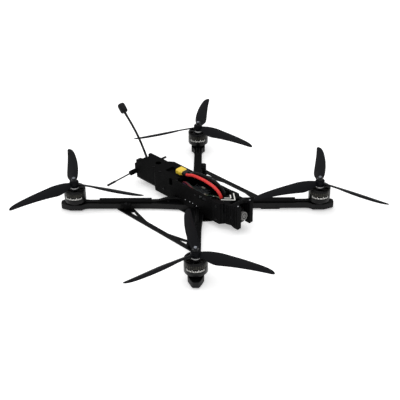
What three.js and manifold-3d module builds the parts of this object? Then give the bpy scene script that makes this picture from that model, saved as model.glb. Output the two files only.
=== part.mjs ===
// Long-range quadcopter drone: carbon plates and arms, printed housings, four outrunner
// motors with three-blade propellers, a tilting nose camera, antennas and a battery lead.
// Millimetres. +Z is up, the nose points along -Y and starboard is -X. The origin is the
// centre of the bottom plate's underside.

import * as THREE from 'three';
import { mergeVertices } from 'three/addons/utils/BufferGeometryUtils.js';
import Module from 'manifold-3d';

const wasm = await Module();
wasm.setup();

// ---------------------------------------------------------------- driving dimensions

const GAP = 0.3; // clearance between pieces that touch

// Frame
const MOTOR_REACH = 213.5; // frame centre to each motor axis
const PLATE_T = 2.5;
const ARM_T = 10.4;
const ARM_HALF = 7.2; // half width along the straight stretch
const ARM_ROOT_HALF = 12.4;
const PAD_HALF = 13; // half width of the motor pad
const PAD_TIP = 238.8; // end of the arm, from the frame centre
const ARM_Z = PLATE_T + GAP;
const ARM_TOP = ARM_Z + ARM_T;
const MAIN_Z = ARM_TOP + GAP;
const MAIN_TOP = MAIN_Z + PLATE_T;
const BRACE_X = 103.5; // outer edge of each side brace

// Housings
const SKIRT_Z = 11.3; // lower rim of the body, below the main plate's edge
const BODY_HALF = 24;
const BODY_TOP = 51;
const DECK_T = 2.5;
const WALL = 2;
const BODY_FRONT = -62;
const BODY_REAR = 83; // where the body starts to narrow
const DECK_FRONT = 34; // front edge of the closed deck
const REAR = { half: 18, front: 91.3, back: 140, top: 50 };
const NOSE = { half: 18, front: -115.8, top: 57, inner: 11 };
const BAY_BACK = -88; // back wall of the camera bay

// Motors and propellers
const BELL = { r: 19.1, inner: 16.7, z: 18.2, top: 42, roof: 3.2, hubR: 6.6, hubZ: 44.3 };
const BELL_WINDOW = { from: 9.5, to: 16, half: 0.38 }; // radii, and half its angle in radians
const STATOR = { r: 15.8, tube: 4.4, bore: 2.8, base: 12.6, z: 21.5, top: 36, tubeTop: 38 };
const SHAFT_R = 2.4;
const SHAFT_TOP = 62.5;
const HUB = { r: 8, z: 44.6, top: 55.4 };
const BLADE_TIP = 130; // propeller of the ten-inch class
const BLADE_PITCH = 127; // five inches of advance per turn
const BLADE_Z = 50.3; // height of the blades' middle line
const BLADE_STEEPEST = THREE.MathUtils.degToRad(27);
const NUT = { across: 8, flange: 5.4, h: 5.6 };

// Camera, which tilts about an X axis through the nose
const TILT = { y: -98, z: 30.1, rest: THREE.MathUtils.degToRad(8) };
const CAMERA = { half: 9.5, depth: 14, barrelR: 6.2, capR: 7.5, reach: 15.6 };

// Battery lead
const LEAD_R = 2.75;
const PLUG = { x: 5, y: 36.3, z: BODY_TOP + GAP, w: 16, h: 8, l: 14, boot: 8 };

// One corner per motor: which way its arm points, how its propeller turns (+1 is
// counter-clockwise from above), one blade's heading and the side its brace lug is on.
const CORNERS = [
  { name: 'front_starboard', heading: 225, turn: 1, blade: 50.6, lug: -1 },
  { name: 'front_port', heading: 315, turn: -1, blade: 40.5, lug: 1 },
  { name: 'rear_port', heading: 45, turn: 1, blade: 36, lug: -1 },
  { name: 'rear_starboard', heading: 135, turn: -1, blade: 56.6, lug: 1 },
];

// ---------------------------------------------------------------- shape helpers

const rad = THREE.MathUtils.degToRad;
const v3 = (p) => new THREE.Vector3(...p);

function toSolid(geometry) {
  const bare = geometry.clone();
  bare.deleteAttribute('normal');
  bare.deleteAttribute('uv');
  const merged = mergeVertices(bare, 1e-4);
  return new wasm.Manifold(
    new wasm.Mesh({
      numProp: 3,
      vertProperties: new Float32Array(merged.attributes.position.array),
      triVerts: new Uint32Array(merged.index.array),
    }),
  );
}

function toGeometry(solid) {
  const mesh = solid.getMesh();
  const geometry = new THREE.BufferGeometry();
  geometry.setAttribute('position', new THREE.BufferAttribute(mesh.vertProperties, 3));
  geometry.setIndex(new THREE.BufferAttribute(mesh.triVerts, 1));
  geometry.computeVertexNormals();
  return geometry;
}

// First geometry joined with `add`, then cut by `cut`.
function carve(base, { add = [], cut = [] }) {
  let solid = toSolid(base);
  for (const piece of add) solid = solid.add(toSolid(piece));
  for (const piece of cut) solid = solid.subtract(toSolid(piece));
  return toGeometry(solid);
}

function box(x0, x1, y0, y1, z0, z1) {
  const g = new THREE.BoxGeometry(x1 - x0, y1 - y0, z1 - z0);
  return g.translate((x0 + x1) / 2, (y0 + y1) / 2, (z0 + z1) / 2);
}

// Closed outline from [x, y] points, run counter-clockwise.
function outlineShape(points) {
  const outline = points.map(([x, y]) => new THREE.Vector2(x, y));
  return new THREE.Shape(THREE.ShapeUtils.isClockWise(outline) ? outline.reverse() : outline);
}

// Outline in the XY plane, raised from z0 to z1.
function prism(outline, z0, z1, curveSegments = 6) {
  const shape = outline instanceof THREE.Shape ? outline : outlineShape(outline);
  const g = new THREE.ExtrudeGeometry(shape, { depth: z1 - z0, bevelEnabled: false, curveSegments });
  return g.translate(0, 0, z0);
}

// Side profile given as [y, z] points, from x0 to x1.
function sideProfile(points, x0, x1) {
  const g = prism(points, x0, x1);
  return g.rotateX(Math.PI / 2).rotateZ(Math.PI / 2);
}

function disc(r, z0, z1, [x, y] = [0, 0], sides = 16) {
  const g = new THREE.CylinderGeometry(r, r, z1 - z0, sides);
  return g.rotateX(Math.PI / 2).translate(x, y, (z0 + z1) / 2);
}

function rodX(r, x0, x1, y, z, sides = 12) {
  const g = new THREE.CylinderGeometry(r, r, x1 - x0, sides);
  return g.rotateZ(Math.PI / 2).translate((x0 + x1) / 2, y, z);
}

// Profile of [radius, z] points turned about Z.
function lathe(profile, sides) {
  const g = new THREE.LatheGeometry(profile.map(([r, z]) => new THREE.Vector2(r, z)), sides);
  return g.rotateX(Math.PI / 2);
}

function polygon(sides, rx, ry = rx) {
  const shape = new THREE.Shape();
  for (let i = 0; i < sides; i += 1) {
    const a = ((i + 0.5) / sides) * 2 * Math.PI;
    const point = [rx * Math.cos(a), ry * Math.sin(a)];
    if (i === 0) shape.moveTo(...point);
    else shape.lineTo(...point);
  }
  shape.closePath();
  return shape;
}

function tube(points, section, steps) {
  const path = new THREE.CatmullRomCurve3(points.map(v3), false, 'centripetal');
  return new THREE.ExtrudeGeometry(section, { extrudePath: path, steps, bevelEnabled: false });
}

// ---------------------------------------------------------------- materials

const FINISH = {
  carbon: [0x1b1b1d, 0.45, 0],
  printed: [0x1c1c1e, 0.75, 0],
  nylon: [0x17171a, 0.5, 0],
  anodised: [0x1d1d1f, 0.35, 0.8],
  winding: [0x6b3a1e, 0.4, 0.8],
  steel: [0x8c8e92, 0.3, 1],
  rubber: [0x141414, 0.9, 0],
  board: [0x101418, 0.6, 0],
  redWire: [0xc8332f, 0.5, 0],
  blackWire: [0x161616, 0.55, 0],
  plug: [0xf5c330, 0.4, 0],
  glass: [0x101018, 0.1, 0],
  cap: [0x8a8a88, 0.6, 0],
};

const drone = new THREE.Group();

function place(parent, name, geometry, finish) {
  const [color, roughness, metalness] = FINISH[finish];
  const mesh = new THREE.Mesh(geometry, new THREE.MeshStandardMaterial({ color, roughness, metalness }));
  mesh.name = name;
  parent.add(mesh);
  return mesh;
}

// ---------------------------------------------------------------- plates and braces

function addPlates() {
  const bottom = [
    [14, -50], [28, -38], [28, 38], [14, 50], [-14, 50], [-28, 38], [-28, -38], [-14, -50],
  ];
  place(drone, 'bottom_plate', prism(bottom, 0, PLATE_T), 'carbon');

  const inBody = BODY_HALF - WALL - GAP;
  const inRear = REAR.half - GAP;
  const inBay = NOSE.inner - GAP;
  const half = [
    [inBay, -103], [inBay, -87], [15, -84], [inBody, -75], [inBody, 82.6], [15.4, 90.8],
    [15.4, REAR.front], [inRear, REAR.front], [inRear, REAR.back],
  ];
  const main = [...half, ...half.map(([x, y]) => [-x, y]).reverse()];
  place(drone, 'main_plate', prism(main, MAIN_Z, MAIN_TOP), 'carbon');
}

// Flat bar under the front and rear arms of one side. Each end forks into two legs that
// meet again in a pad below the arm.
function addBraces() {
  const alongArm = (s, t) => [(s + t) / Math.SQRT2, (s - t) / Math.SQRT2];
  const inner = BRACE_X - 9;
  const end = [
    [inner, 27], alongArm(110.5, 7.3), alongArm(112, -6.5), alongArm(145, -6.5),
    alongArm(140, 7), [BRACE_X, 92],
  ];
  const window = [[BRACE_X - 8, 48], [BRACE_X - 14.7, 67], [BRACE_X - 8.3, 71]];
  for (const [side, sx] of [['starboard', -1], ['port', 1]]) {
    const outline = [...end, ...end.map(([x, y]) => [x, -y]).reverse()];
    const shape = outlineShape(outline.map(([x, y]) => [sx * x, y]));
    for (const sy of [-1, 1]) {
      shape.holes.push(new THREE.Path(window.map(([x, y]) => new THREE.Vector2(sx * x, sy * y))));
    }
    place(drone, `brace_${side}`, prism(shape, 0, PLATE_T), 'carbon');
  }
}

// ---------------------------------------------------------------- arms

// Plan of one arm, along +X from the frame centre to its tip.
function armOutline() {
  const padStart = MOTOR_REACH - 11;
  const padEnd = MOTOR_REACH + 8;
  const shape = new THREE.Shape();
  shape.moveTo(10, -8.8);
  shape.lineTo(14, -ARM_ROOT_HALF);
  shape.lineTo(26, -ARM_ROOT_HALF);
  shape.quadraticCurveTo(62, -ARM_HALF - 0.4, 105, -ARM_HALF - 0.4);
  shape.lineTo(padStart - 13, -ARM_HALF);
  shape.quadraticCurveTo(padStart - 6, -ARM_HALF, padStart, -PAD_HALF);
  shape.lineTo(padEnd, -PAD_HALF);
  shape.lineTo(PAD_TIP - 2, -6.4);
  shape.lineTo(PAD_TIP, -4.2);
  shape.lineTo(PAD_TIP, 4.2);
  shape.lineTo(PAD_TIP - 2, 6.4);
  shape.lineTo(padEnd, PAD_HALF);
  shape.lineTo(padStart, PAD_HALF);
  shape.quadraticCurveTo(padStart - 6, ARM_HALF, padStart - 13, ARM_HALF);
  shape.lineTo(105, ARM_HALF + 0.4);
  shape.quadraticCurveTo(62, ARM_HALF + 0.4, 26, ARM_ROOT_HALF);
  shape.lineTo(14, ARM_ROOT_HALF);
  shape.lineTo(10, 8.8);
  shape.closePath();
  return shape;
}

const MOTOR_SCREWS = [45, 135, 225, 315].map((a) => [9.5 * Math.cos(rad(a)), 9.5 * Math.sin(rad(a))]);

function armGeometry() {
  const cut = [disc(4, ARM_Z - 1, ARM_TOP + 1, [MOTOR_REACH, 0], 10)];
  for (const [x, y] of MOTOR_SCREWS) {
    cut.push(disc(1.7, ARM_Z - 1, ARM_TOP + 1, [MOTOR_REACH + x, y], 8));
  }
  for (const x of [34, 50]) cut.push(disc(1.7, ARM_Z - 1, ARM_TOP + 1, [x, 0], 8));
  return carve(prism(armOutline(), ARM_Z, ARM_TOP, 4), { cut });
}

const COVER = { from: 80, to: 172, half: 6.4, h: 3.6, wall: 1.3 };
const LUG = { at: 124.5, half: 9, reach: 8.5, z: 8.5, above: 1.8, chamfer: 3, spacerR: 3.2 };

// Inverted channel over the motor wires. A lug on one flank and the spacer below it take
// the bolt that holds the side brace.
function coverGeometry(lug) {
  const z0 = ARM_TOP + GAP;
  const body = box(COVER.from, COVER.to, -COVER.half, COVER.half, z0, z0 + COVER.h);
  const [back, front] = [LUG.at - LUG.half, LUG.at + LUG.half];
  const outside = ARM_HALF + LUG.reach;
  const earTo = (inside) => [
    [back, inside], [front, inside], [front, outside - LUG.chamfer],
    [front - LUG.chamfer, outside], [back + LUG.chamfer, outside], [back, outside - LUG.chamfer],
  ].map(([x, y]) => [x, lug * y]);
  const boltAt = [LUG.at, lug * (ARM_HALF + LUG.reach / 2 + 0.5)];
  const channel = COVER.half - COVER.wall;
  return carve(body, {
    add: [
      prism(earTo(ARM_HALF + 1), LUG.z, z0 + LUG.above),
      prism(earTo(COVER.half - 1), z0, z0 + LUG.above),
      disc(LUG.spacerR, ARM_Z, LUG.z + 1, boltAt, 12),
    ],
    cut: [box(COVER.from - 1, COVER.to + 1, -channel, channel, z0 - 1, z0 + COVER.h - COVER.wall)],
  });
}

const LEAD_BUNDLE_HALF = 1.15; // half thickness of the flat bundle

// Three motor wires side by side, as one flat bundle from the body to the motor.
function motorLeadsGeometry() {
  const flat = ARM_TOP + GAP + LEAD_BUNDLE_HALF;
  const route = [
    [29, 0, 19.2], [36, 0, 19.6], [45, 0, 20.2], [55, 0, 19.6], [63, 0, 17.6], [70, 0, 15.3],
    [77, 0, flat], [82, 0, flat], [110, 0, flat], [140, 0, flat], [170, 0, flat],
    [MOTOR_REACH - STATOR.base - 0.5, 0, flat],
  ];
  return tube(route, polygon(8, 3.7, LEAD_BUNDLE_HALF), 18);
}

// ---------------------------------------------------------------- motors and propellers

function statorGeometry() {
  const { r, tube: tubeR, bore, base, z, top, tubeTop } = STATOR;
  const flange = MAIN_Z + 1.5;
  return lathe(
    [
      [bore, MAIN_Z], [base, MAIN_Z], [base, flange], [tubeR, flange], [tubeR, z], [r, z],
      [r, top], [tubeR, top], [tubeR, tubeTop], [bore, tubeTop], [bore, MAIN_Z],
    ],
    14,
  );
}

// Bell, its spoked top and the shaft, turned as one piece.
function bellGeometry() {
  const { r, inner, z, top, roof, hubR, hubZ } = BELL;
  const ceiling = top - roof;
  const turned = lathe(
    [
      [0, MAIN_Z + 0.5], [SHAFT_R, MAIN_Z + 0.5], [SHAFT_R, ceiling], [inner, ceiling], [inner, z],
      [r, z], [r, top - 0.8], [r - 0.8, top], [hubR, top], [hubR, hubZ], [SHAFT_R, hubZ],
      [SHAFT_R, SHAFT_TOP], [0, SHAFT_TOP],
    ],
    18,
  );
  const { from, to, half } = BELL_WINDOW;
  const windows = [];
  for (let i = 0; i < 6; i += 1) {
    const mid = (i * Math.PI) / 3;
    const shape = new THREE.Shape();
    shape.absarc(0, 0, to, mid - half, mid + half, false);
    shape.absarc(0, 0, from, mid + 0.8 * half, mid - 0.8 * half, true);
    shape.closePath();
    windows.push(prism(shape, ceiling - 1, top + 1, 2));
  }
  return carve(turned, { cut: windows });
}

// Plan of one blade along +X: leading and trailing edge offsets against radius, for a
// propeller that turns counter-clockwise from above.
const BLADE_LEAD = [
  [6, 4.5], [18, 8], [32, 10], [52, 11.3], [76, 11.6], [98, 10.4], [112, 8.8], [122, 6.4],
  [127.5, 3.6], [BLADE_TIP, 0.6],
];
const BLADE_TRAIL = [
  [6, -3.5], [18, -6.4], [32, -9.4], [44, -9.5], [60, -8], [80, -6], [100, -4.3], [118, -3.2],
  [127.5, -2.6], [BLADE_TIP, -1.4],
];

function edgeAt(edge, r) {
  const curve = new THREE.SplineCurve(edge.map(([x, y]) => new THREE.Vector2(x, y)));
  let low = 0;
  let high = 1;
  for (let i = 0; i < 24; i += 1) {
    const mid = (low + high) / 2;
    if (curve.getPoint(mid).x < r) low = mid;
    else high = mid;
  }
  return curve.getPoint(low).y;
}

// A blade starts as a rod of unit radius whose rings are moved to the sections.
function bladeGeometry(turn) {
  const rings = 9;
  const g = new THREE.CylinderGeometry(1, 1, 1, 8, rings);
  const position = g.attributes.position;
  for (let i = 0; i < position.count; i += 1) {
    const along = position.getY(i) + 0.5;
    const r = 5 + (BLADE_TIP - 5) * (1 - (1 - along) ** 1.25);
    const lead = edgeAt(BLADE_LEAD, r);
    const trail = edgeAt(BLADE_TRAIL, r);
    const chordwise = (lead + trail) / 2 + (position.getX(i) * (lead - trail)) / 2;
    const pitch = Math.min(Math.atan(BLADE_PITCH / (2 * Math.PI * r)), BLADE_STEEPEST);
    const thick = 1.7 - 1.2 * along;
    const camber = 0.06 * (lead - trail) * (1 - position.getX(i) ** 2);
    const middle = BLADE_Z + (chordwise - 1) * Math.tan(pitch) + camber;
    const height = middle + position.getZ(i) * thick;
    position.setXYZ(i, r, turn * chordwise, height);
  }
  if (turn > 0) {
    const order = g.index.array;
    for (let i = 0; i < order.length; i += 3) [order[i], order[i + 1]] = [order[i + 1], order[i]];
  }
  return g;
}

function propellerGeometry(turn) {
  const { r, z, top } = HUB;
  const hub = lathe([[0, z], [r, z], [r, top - 1], [r - 1, top], [0, top]], 16);
  const blades = [0, 120, 240].map((a) => bladeGeometry(turn).rotateZ(rad(a)));
  return carve(hub, { add: blades, cut: [disc(SHAFT_R + GAP, z - 1, top + 1, [0, 0], 12)] });
}

function nutGeometry() {
  const z0 = HUB.top + GAP;
  const flange = disc(NUT.flange, z0, z0 + 1.2, [0, 0], 16);
  const hex = disc(NUT.across / Math.sqrt(3), z0, z0 + NUT.h, [0, 0], 6);
  const bore = disc(SHAFT_R + GAP, z0 - 1, z0 + NUT.h + 1, [0, 0], 12);
  return carve(flange, { add: [hex], cut: [bore] });
}

function addCorners() {
  for (const corner of CORNERS) {
    const arm = new THREE.Group();
    arm.rotation.z = rad(corner.heading);
    drone.add(arm);
    place(arm, `arm_${corner.name}`, armGeometry(), 'carbon');
    place(arm, `arm_cover_${corner.name}`, coverGeometry(corner.lug), 'printed');
    place(arm, `motor_leads_${corner.name}`, motorLeadsGeometry(), 'blackWire');
    place(arm, `motor_stator_${corner.name}`, statorGeometry(), 'winding').position.x = MOTOR_REACH;

    const rotor = new THREE.Group();
    rotor.position.x = MOTOR_REACH;
    rotor.rotation.z = rad(corner.blade - corner.heading);
    arm.add(rotor);
    place(rotor, `motor_bell_${corner.name}`, bellGeometry(), 'anodised');
    place(rotor, `propeller_${corner.name}`, propellerGeometry(corner.turn), 'nylon');
    place(rotor, `prop_nut_${corner.name}`, nutGeometry(), 'steel');
  }
}

// ---------------------------------------------------------------- housings

// Body: a skirted tub over the main plate, closed by a deck at the rear and open on top
// between its side rims. A channel in the deck runs under the battery plug, and the walls
// have a notch beside the plug and a window beside the flight controller.
function addBody() {
  const end = REAR.front - GAP;
  const outline = (inset, past) => {
    const x = BODY_HALF - inset;
    const xr = REAR.half - inset;
    const half = [[x, BODY_FRONT - past], [x, BODY_REAR], [xr, end], [xr, end + past]];
    return [...half, ...half.map(([a, b]) => [-a, b]).reverse()];
  };
  const under = BODY_TOP - DECK_T;
  const shell = carve(prism(outline(0, 0), SKIRT_Z, BODY_TOP), {
    cut: [prism(outline(WALL, 1), SKIRT_Z - 1, under)],
  });

  const add = [box(-10, 12, DECK_FRONT, 74, 44, under + 0.5)];
  for (const y of [-54, 30, 74]) {
    for (const x of [-19.5, 19.5]) {
      add.push(disc(3.2, MAIN_TOP + GAP, under + 0.5, [x, y], 10));
    }
  }
  const rim = 5.5;
  const cut = [
    box(rim - BODY_HALF, BODY_HALF - rim, BODY_FRONT - 1, DECK_FRONT, under - 1, BODY_TOP + 1),
    box(-30, 30, -42, 42, SKIRT_Z - 1, MAIN_Z),
    box(-BODY_HALF - 1, -BODY_HALF + 3, 37.5, 45, 39, BODY_TOP + 1),
    box(-BODY_HALF - 1, -BODY_HALF + 3, -45, -28, 41.5, under),
    box(-8, 10, DECK_FRONT - 1, 72, 46, BODY_TOP + 1),
  ];
  for (const { heading } of CORNERS) {
    cut.push(box(26, 44, -5, 5, 17, 22.5).rotateZ(rad(heading)));
  }
  place(drone, 'body_shell', carve(shell, { add, cut }), 'printed');
}

// Rear housing over the video transmitter: a round access hole and a scalloped rear edge
// between two ears.
function addRearHousing() {
  const { half, front, back, top } = REAR;
  const floor = MAIN_TOP + GAP;
  const block = box(-half, half, front, back, floor, top);
  const cut = [
    box(-half + WALL, half - WALL, front - 1, back - WALL, floor - 1, top - 2.2),
    disc(5.5, top - 5, top + 1, [2, 101.5], 20),
    disc(9.9, top - 5, top + 1, [2, back], 20),
  ];
  place(drone, 'rear_housing', carve(block, { cut }), 'printed');
}

// Nose cover: side walls that narrow to two ribbed cheeks behind a slot, a top that rises
// to a visor and is cut back in a half circle over the camera.
function addNose() {
  const { half, front, top, inner } = NOSE;
  const back = BODY_FRONT - GAP;
  const profile = [
    [back, SKIRT_Z], [-77, SKIRT_Z], [-86, 13.5], [-100, 16], [-106, 13.8],
    [front + 1, 13.8], [front, 15.5], [front, top - 1.5], [front + 1.5, top],
    [-102, top], [-98, 54.5], [-93, 52.6], [back, 51.4],
  ];
  const narrowing = (inset) => [[BODY_HALF - inset, -77], [half - inset, -85]];
  const plan = [[BODY_HALF, back], ...narrowing(0), [half, front]];
  const keep = prism([...plan, ...plan.map(([x, y]) => [-x, y]).reverse()], 0, 70);
  const outer = toSolid(sideProfile(profile, -BODY_HALF, BODY_HALF)).intersect(toSolid(keep));

  const inside = [[BODY_HALF - WALL, back + 1], ...narrowing(WALL), [half - WALL, BAY_BACK]];
  const hollow = prism([...inside, ...inside.map(([x, y]) => [-x, y]).reverse()], 0, 48.8);
  const cut = [
    hollow,
    box(-inner, inner, front - 1, BAY_BACK + 1, 0, 53),
    disc(inner, 40, top + 1, [0, front], 24),
    box(-16, 16, -68, back + 1, 40, 60),
    rodX(1.5, -half - 1, half + 1, TILT.y, TILT.z),
    rodX(2.7, half - 2.2, half + 1, TILT.y, TILT.z),
    rodX(2.7, -half - 1, -half + 2.2, TILT.y, TILT.z),
    box(half - 0.5, BODY_HALF + 1, -84.6, -82.4, 33, top),
    box(-BODY_HALF - 1, 0.5 - half, -84.6, -82.4, 33, top),
  ];
  for (let y = -112; y < -88; y += 3.4) {
    for (const sx of [-1, 1]) {
      const faces = [sx * (half - 0.8), sx * (half + 1)].sort((a, b) => a - b);
      cut.push(box(...faces, y, y + 1.3, 19, 50));
    }
  }
  place(drone, 'nose_cover', carve(toGeometry(outer), { cut }), 'printed');
}

// ---------------------------------------------------------------- camera

function addCamera() {
  const { half, depth, barrelR, capR, reach } = CAMERA;
  const camera = new THREE.Group();
  camera.position.set(0, TILT.y, TILT.z);
  camera.rotation.x = -TILT.rest;
  drone.add(camera);

  const frontY = -depth / 2;
  const ring = lathe([[0, 0], [8.4, 0], [8.4, 1.2], [0, 1.2]], 16).rotateX(Math.PI / 2);
  const bodyBox = box(-half, half, frontY, depth / 2, -half, half);
  place(camera, 'camera_body', carve(bodyBox, { add: [ring.translate(0, frontY + 0.2, 0)] }), 'nylon');

  const onAxis = (profile, sides) => lathe(profile, sides).rotateX(Math.PI / 2);
  const base = -frontY + 1 + GAP;
  const barrel = [
    [0, base], [barrelR, base], [barrelR, reach - 2.8], [4.6, reach - 2.4], [0, reach - 3.2],
  ];
  place(camera, 'camera_lens', onAxis(barrel, 16), 'glass');
  const mouth = reach - 5.4;
  const cup = [
    [0, reach - 2], [barrelR + 0.4, reach - 2], [barrelR + 0.4, mouth], [capR, mouth],
    [capR, reach - 0.8], [capR - 0.8, reach], [0, reach],
  ];
  place(camera, 'lens_cap', onAxis(cup, 18), 'cap');

  for (const [side, sx] of [['starboard', -1], ['port', 1]]) {
    const turned = lathe([[0, 0], [1.1, 0], [1.1, 6.4], [2.3, 6.4], [2.3, 7.9], [0, 7.9]], 12);
    turned.rotateY((sx * Math.PI) / 2).translate(sx * (half + GAP), 0, 0);
    place(camera, `camera_screw_${side}`, turned, 'steel');
  }
}

// ---------------------------------------------------------------- electronics

function addElectronics() {
  const bed = MAIN_TOP + GAP;
  const posts = [[-15.25, -15.25], [-15.25, 15.25], [15.25, -15.25], [15.25, 15.25]];
  const holes = (z0, z1) => posts.map((p) => disc(1.9, z0, z1, p, 8));

  const frame = carve(box(-18.5, 18.5, -18.5, 18.5, bed, bed + 1.6), {
    cut: [box(-12, 12, -12, 12, bed - 1, bed + 3)],
    add: posts.map((p) => disc(1.5, bed, 36, p, 8)),
  });
  place(drone, 'stack_mount', frame, 'nylon');
  const speedBoard = carve(box(-21, 21, -20, 20, 21, 25), { cut: holes(20, 26) });
  place(drone, 'esc_board', speedBoard, 'board');
  const flightBoard = carve(box(-18.5, 18.5, -18.5, 18.5, 30, 33.5), { cut: holes(29, 35) });
  place(drone, 'flight_controller', flightBoard, 'board');
  const can = disc(6, 0, 24, [0, 0], 14).rotateX(Math.PI / 2);
  place(drone, 'capacitor', can.translate(-10, -25, 30), 'rubber');
  place(drone, 'receiver', box(-11, 11, 50, 74, bed + 1, bed + 6), 'board');
  place(drone, 'video_transmitter', box(-15, 15, 97, 130, bed + 0.5, bed + 14), 'anodised');
}

// ---------------------------------------------------------------- antennas

const STEM_R = 2.1;
const BOSS = { r: 4.6, reach: 29 };

function addAntennas() {
  const y = REAR.back + BOSS.r + GAP;
  const z = 23.7;
  const holder = box(-13, 13, REAR.back + GAP, REAR.back + 5, 20, 42.5);
  const add = [
    rodX(BOSS.r, -BOSS.reach, BOSS.reach, y, z, 12),
    box(-REAR.half, REAR.half, REAR.back + GAP, REAR.back + 4.4, 27, 41),
  ];
  place(drone, 'antenna_mount', carve(holder, { add }), 'printed');

  const whip = (length) => {
    const sleeve = length - 18;
    const profile = [[0, 0], [1.3, 0], [1.3, sleeve - 1], [2, sleeve], [2, length], [0, length]];
    return lathe(profile, 8);
  };
  const aim = (mesh, from, to) => {
    const along = v3(to).sub(v3(from)).normalize();
    mesh.position.set(...from);
    mesh.quaternion.setFromUnitVectors(new THREE.Vector3(0, 0, 1), along);
  };
  const ends = {
    starboard: [[-BOSS.reach - 0.8, y, 23.5], [-83.4, y, 20.3]],
    port: [[BOSS.reach + 0.8, y + 0.3, 23.4], [68.4, 155, 15.4]],
  };
  for (const [side, [from, to]] of Object.entries(ends)) {
    const length = v3(to).distanceTo(v3(from));
    aim(place(drone, `receiver_antenna_${side}`, whip(length), 'nylon'), from, to);
  }

  const stem = [[2, 129.5, 40], [2, 134.7, 51.9], [2, 152.8, 82.2], [2, 168.3, 100.7], [2, 188.2, 120.5]];
  place(drone, 'antenna_stem', tube(stem, polygon(8, STEM_R), 12), 'nylon');
  const head = lathe([[0, 0.3], [5, 0.5], [7, 3], [7, 15.5], [5.2, 18.6], [0, 19.3]], 16);
  aim(place(drone, 'antenna_head', head, 'nylon'), stem[4], [2, 195.8, 129.4]);
}

// ---------------------------------------------------------------- battery lead

function addBatteryLead() {
  const { x, y, z, w, h, l } = PLUG;
  const mid = z + h / 2;
  const side = [[w / 2, 0], [w / 2, h - 2], [w / 2 - 2, h]];
  const plugOutline = [...side, ...side.map(([a, b]) => [-a, b]).reverse()];
  const plug = prism(plugOutline, 0, l).rotateX(Math.PI / 2).translate(x, y + l, z);
  place(drone, 'battery_connector', plug, 'plug');
  const bootOutline = plugOutline.map(([a, b]) => [a * 0.9, b * 0.92 + 0.2]);
  const boot = prism(bootOutline, 0, PLUG.boot).rotateX(Math.PI / 2);
  place(drone, 'connector_boot', boot.translate(x, y - GAP, z), 'rubber');

  const start = y - PLUG.boot - 3 * GAP;
  const red = [
    [x - 3.6, start, mid], [1.4, 24.2, 55.7], [1.3, 20.4, 57.1], [1, 15.3, 59.2],
    [0.6, 8.9, 60.9], [0.2, 2.5, 61.9], [-0.1, -4.1, 62.6], [-0.5, -10.6, 63.1],
    [-0.9, -17.1, 63.4], [-1.4, -23.7, 63.5], [-2, -30.2, 63.4], [-2.6, -36.8, 63.1],
    [-3.2, -43.3, 62.3], [-3.8, -49.6, 60.7], [-4.3, -55.6, 58.2], [-4.8, -60.7, 54.2],
    [-5, -63.9, 48.6], [-5, -64.1, 42], [-5, -61.8, 36], [-5, -57, 31.5],
  ];
  const black = [
    [x + 3.6, start, mid], [8.5, 24.2, 55.8], [8.4, 20.5, 57.4], [8, 15.6, 60.1],
    [7.7, 9.1, 62.3], [7.4, 2.5, 63.7], [7.1, -4.1, 64.6], [6.8, -10.7, 65.4],
    [6.4, -17.4, 66], [6.1, -24.1, 66.4], [5.8, -30.8, 66.5], [5.5, -37.5, 66.3],
    [5.1, -44.1, 65.2], [4.8, -50.5, 63.1], [4.4, -56.2, 59.8], [3.8, -60.8, 55],
    [3.5, -63.7, 49], [3.4, -64.2, 42.3], [3.4, -61.9, 36.1], [3.4, -57, 31.5],
  ];
  place(drone, 'battery_lead_red', tube(red, polygon(8, LEAD_R), 20), 'redWire');
  place(drone, 'battery_lead_black', tube(black, polygon(8, LEAD_R), 20), 'blackWire');
}

addPlates();
addBraces();
addCorners();
addBody();
addRearHousing();
addNose();
addCamera();
addElectronics();
addAntennas();
addBatteryLead();

export default drone;
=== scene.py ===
"""Looks of the quadcopter drone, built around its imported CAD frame.

Shapes are written in millimetres and turned into metres when they become objects.
"""

import math
import random

import bmesh
import bpy
from mathutils import Matrix, Vector


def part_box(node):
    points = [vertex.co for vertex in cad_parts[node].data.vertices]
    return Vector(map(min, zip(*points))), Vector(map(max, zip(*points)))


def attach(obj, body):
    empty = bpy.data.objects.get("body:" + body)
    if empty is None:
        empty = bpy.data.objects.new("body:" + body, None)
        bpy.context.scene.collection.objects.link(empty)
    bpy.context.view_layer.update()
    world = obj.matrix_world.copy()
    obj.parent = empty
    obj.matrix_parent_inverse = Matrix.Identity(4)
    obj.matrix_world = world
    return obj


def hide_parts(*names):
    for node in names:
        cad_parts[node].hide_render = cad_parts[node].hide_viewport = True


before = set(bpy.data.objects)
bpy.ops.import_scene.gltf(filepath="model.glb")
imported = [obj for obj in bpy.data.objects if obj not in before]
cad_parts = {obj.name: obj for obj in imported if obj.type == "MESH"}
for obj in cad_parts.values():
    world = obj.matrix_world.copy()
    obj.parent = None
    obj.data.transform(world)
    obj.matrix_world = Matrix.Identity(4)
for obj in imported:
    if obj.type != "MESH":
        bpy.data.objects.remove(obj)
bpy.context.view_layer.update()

MM = 0.001
TAU = 2 * math.pi
AIRFRAME = "airframe"

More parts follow.
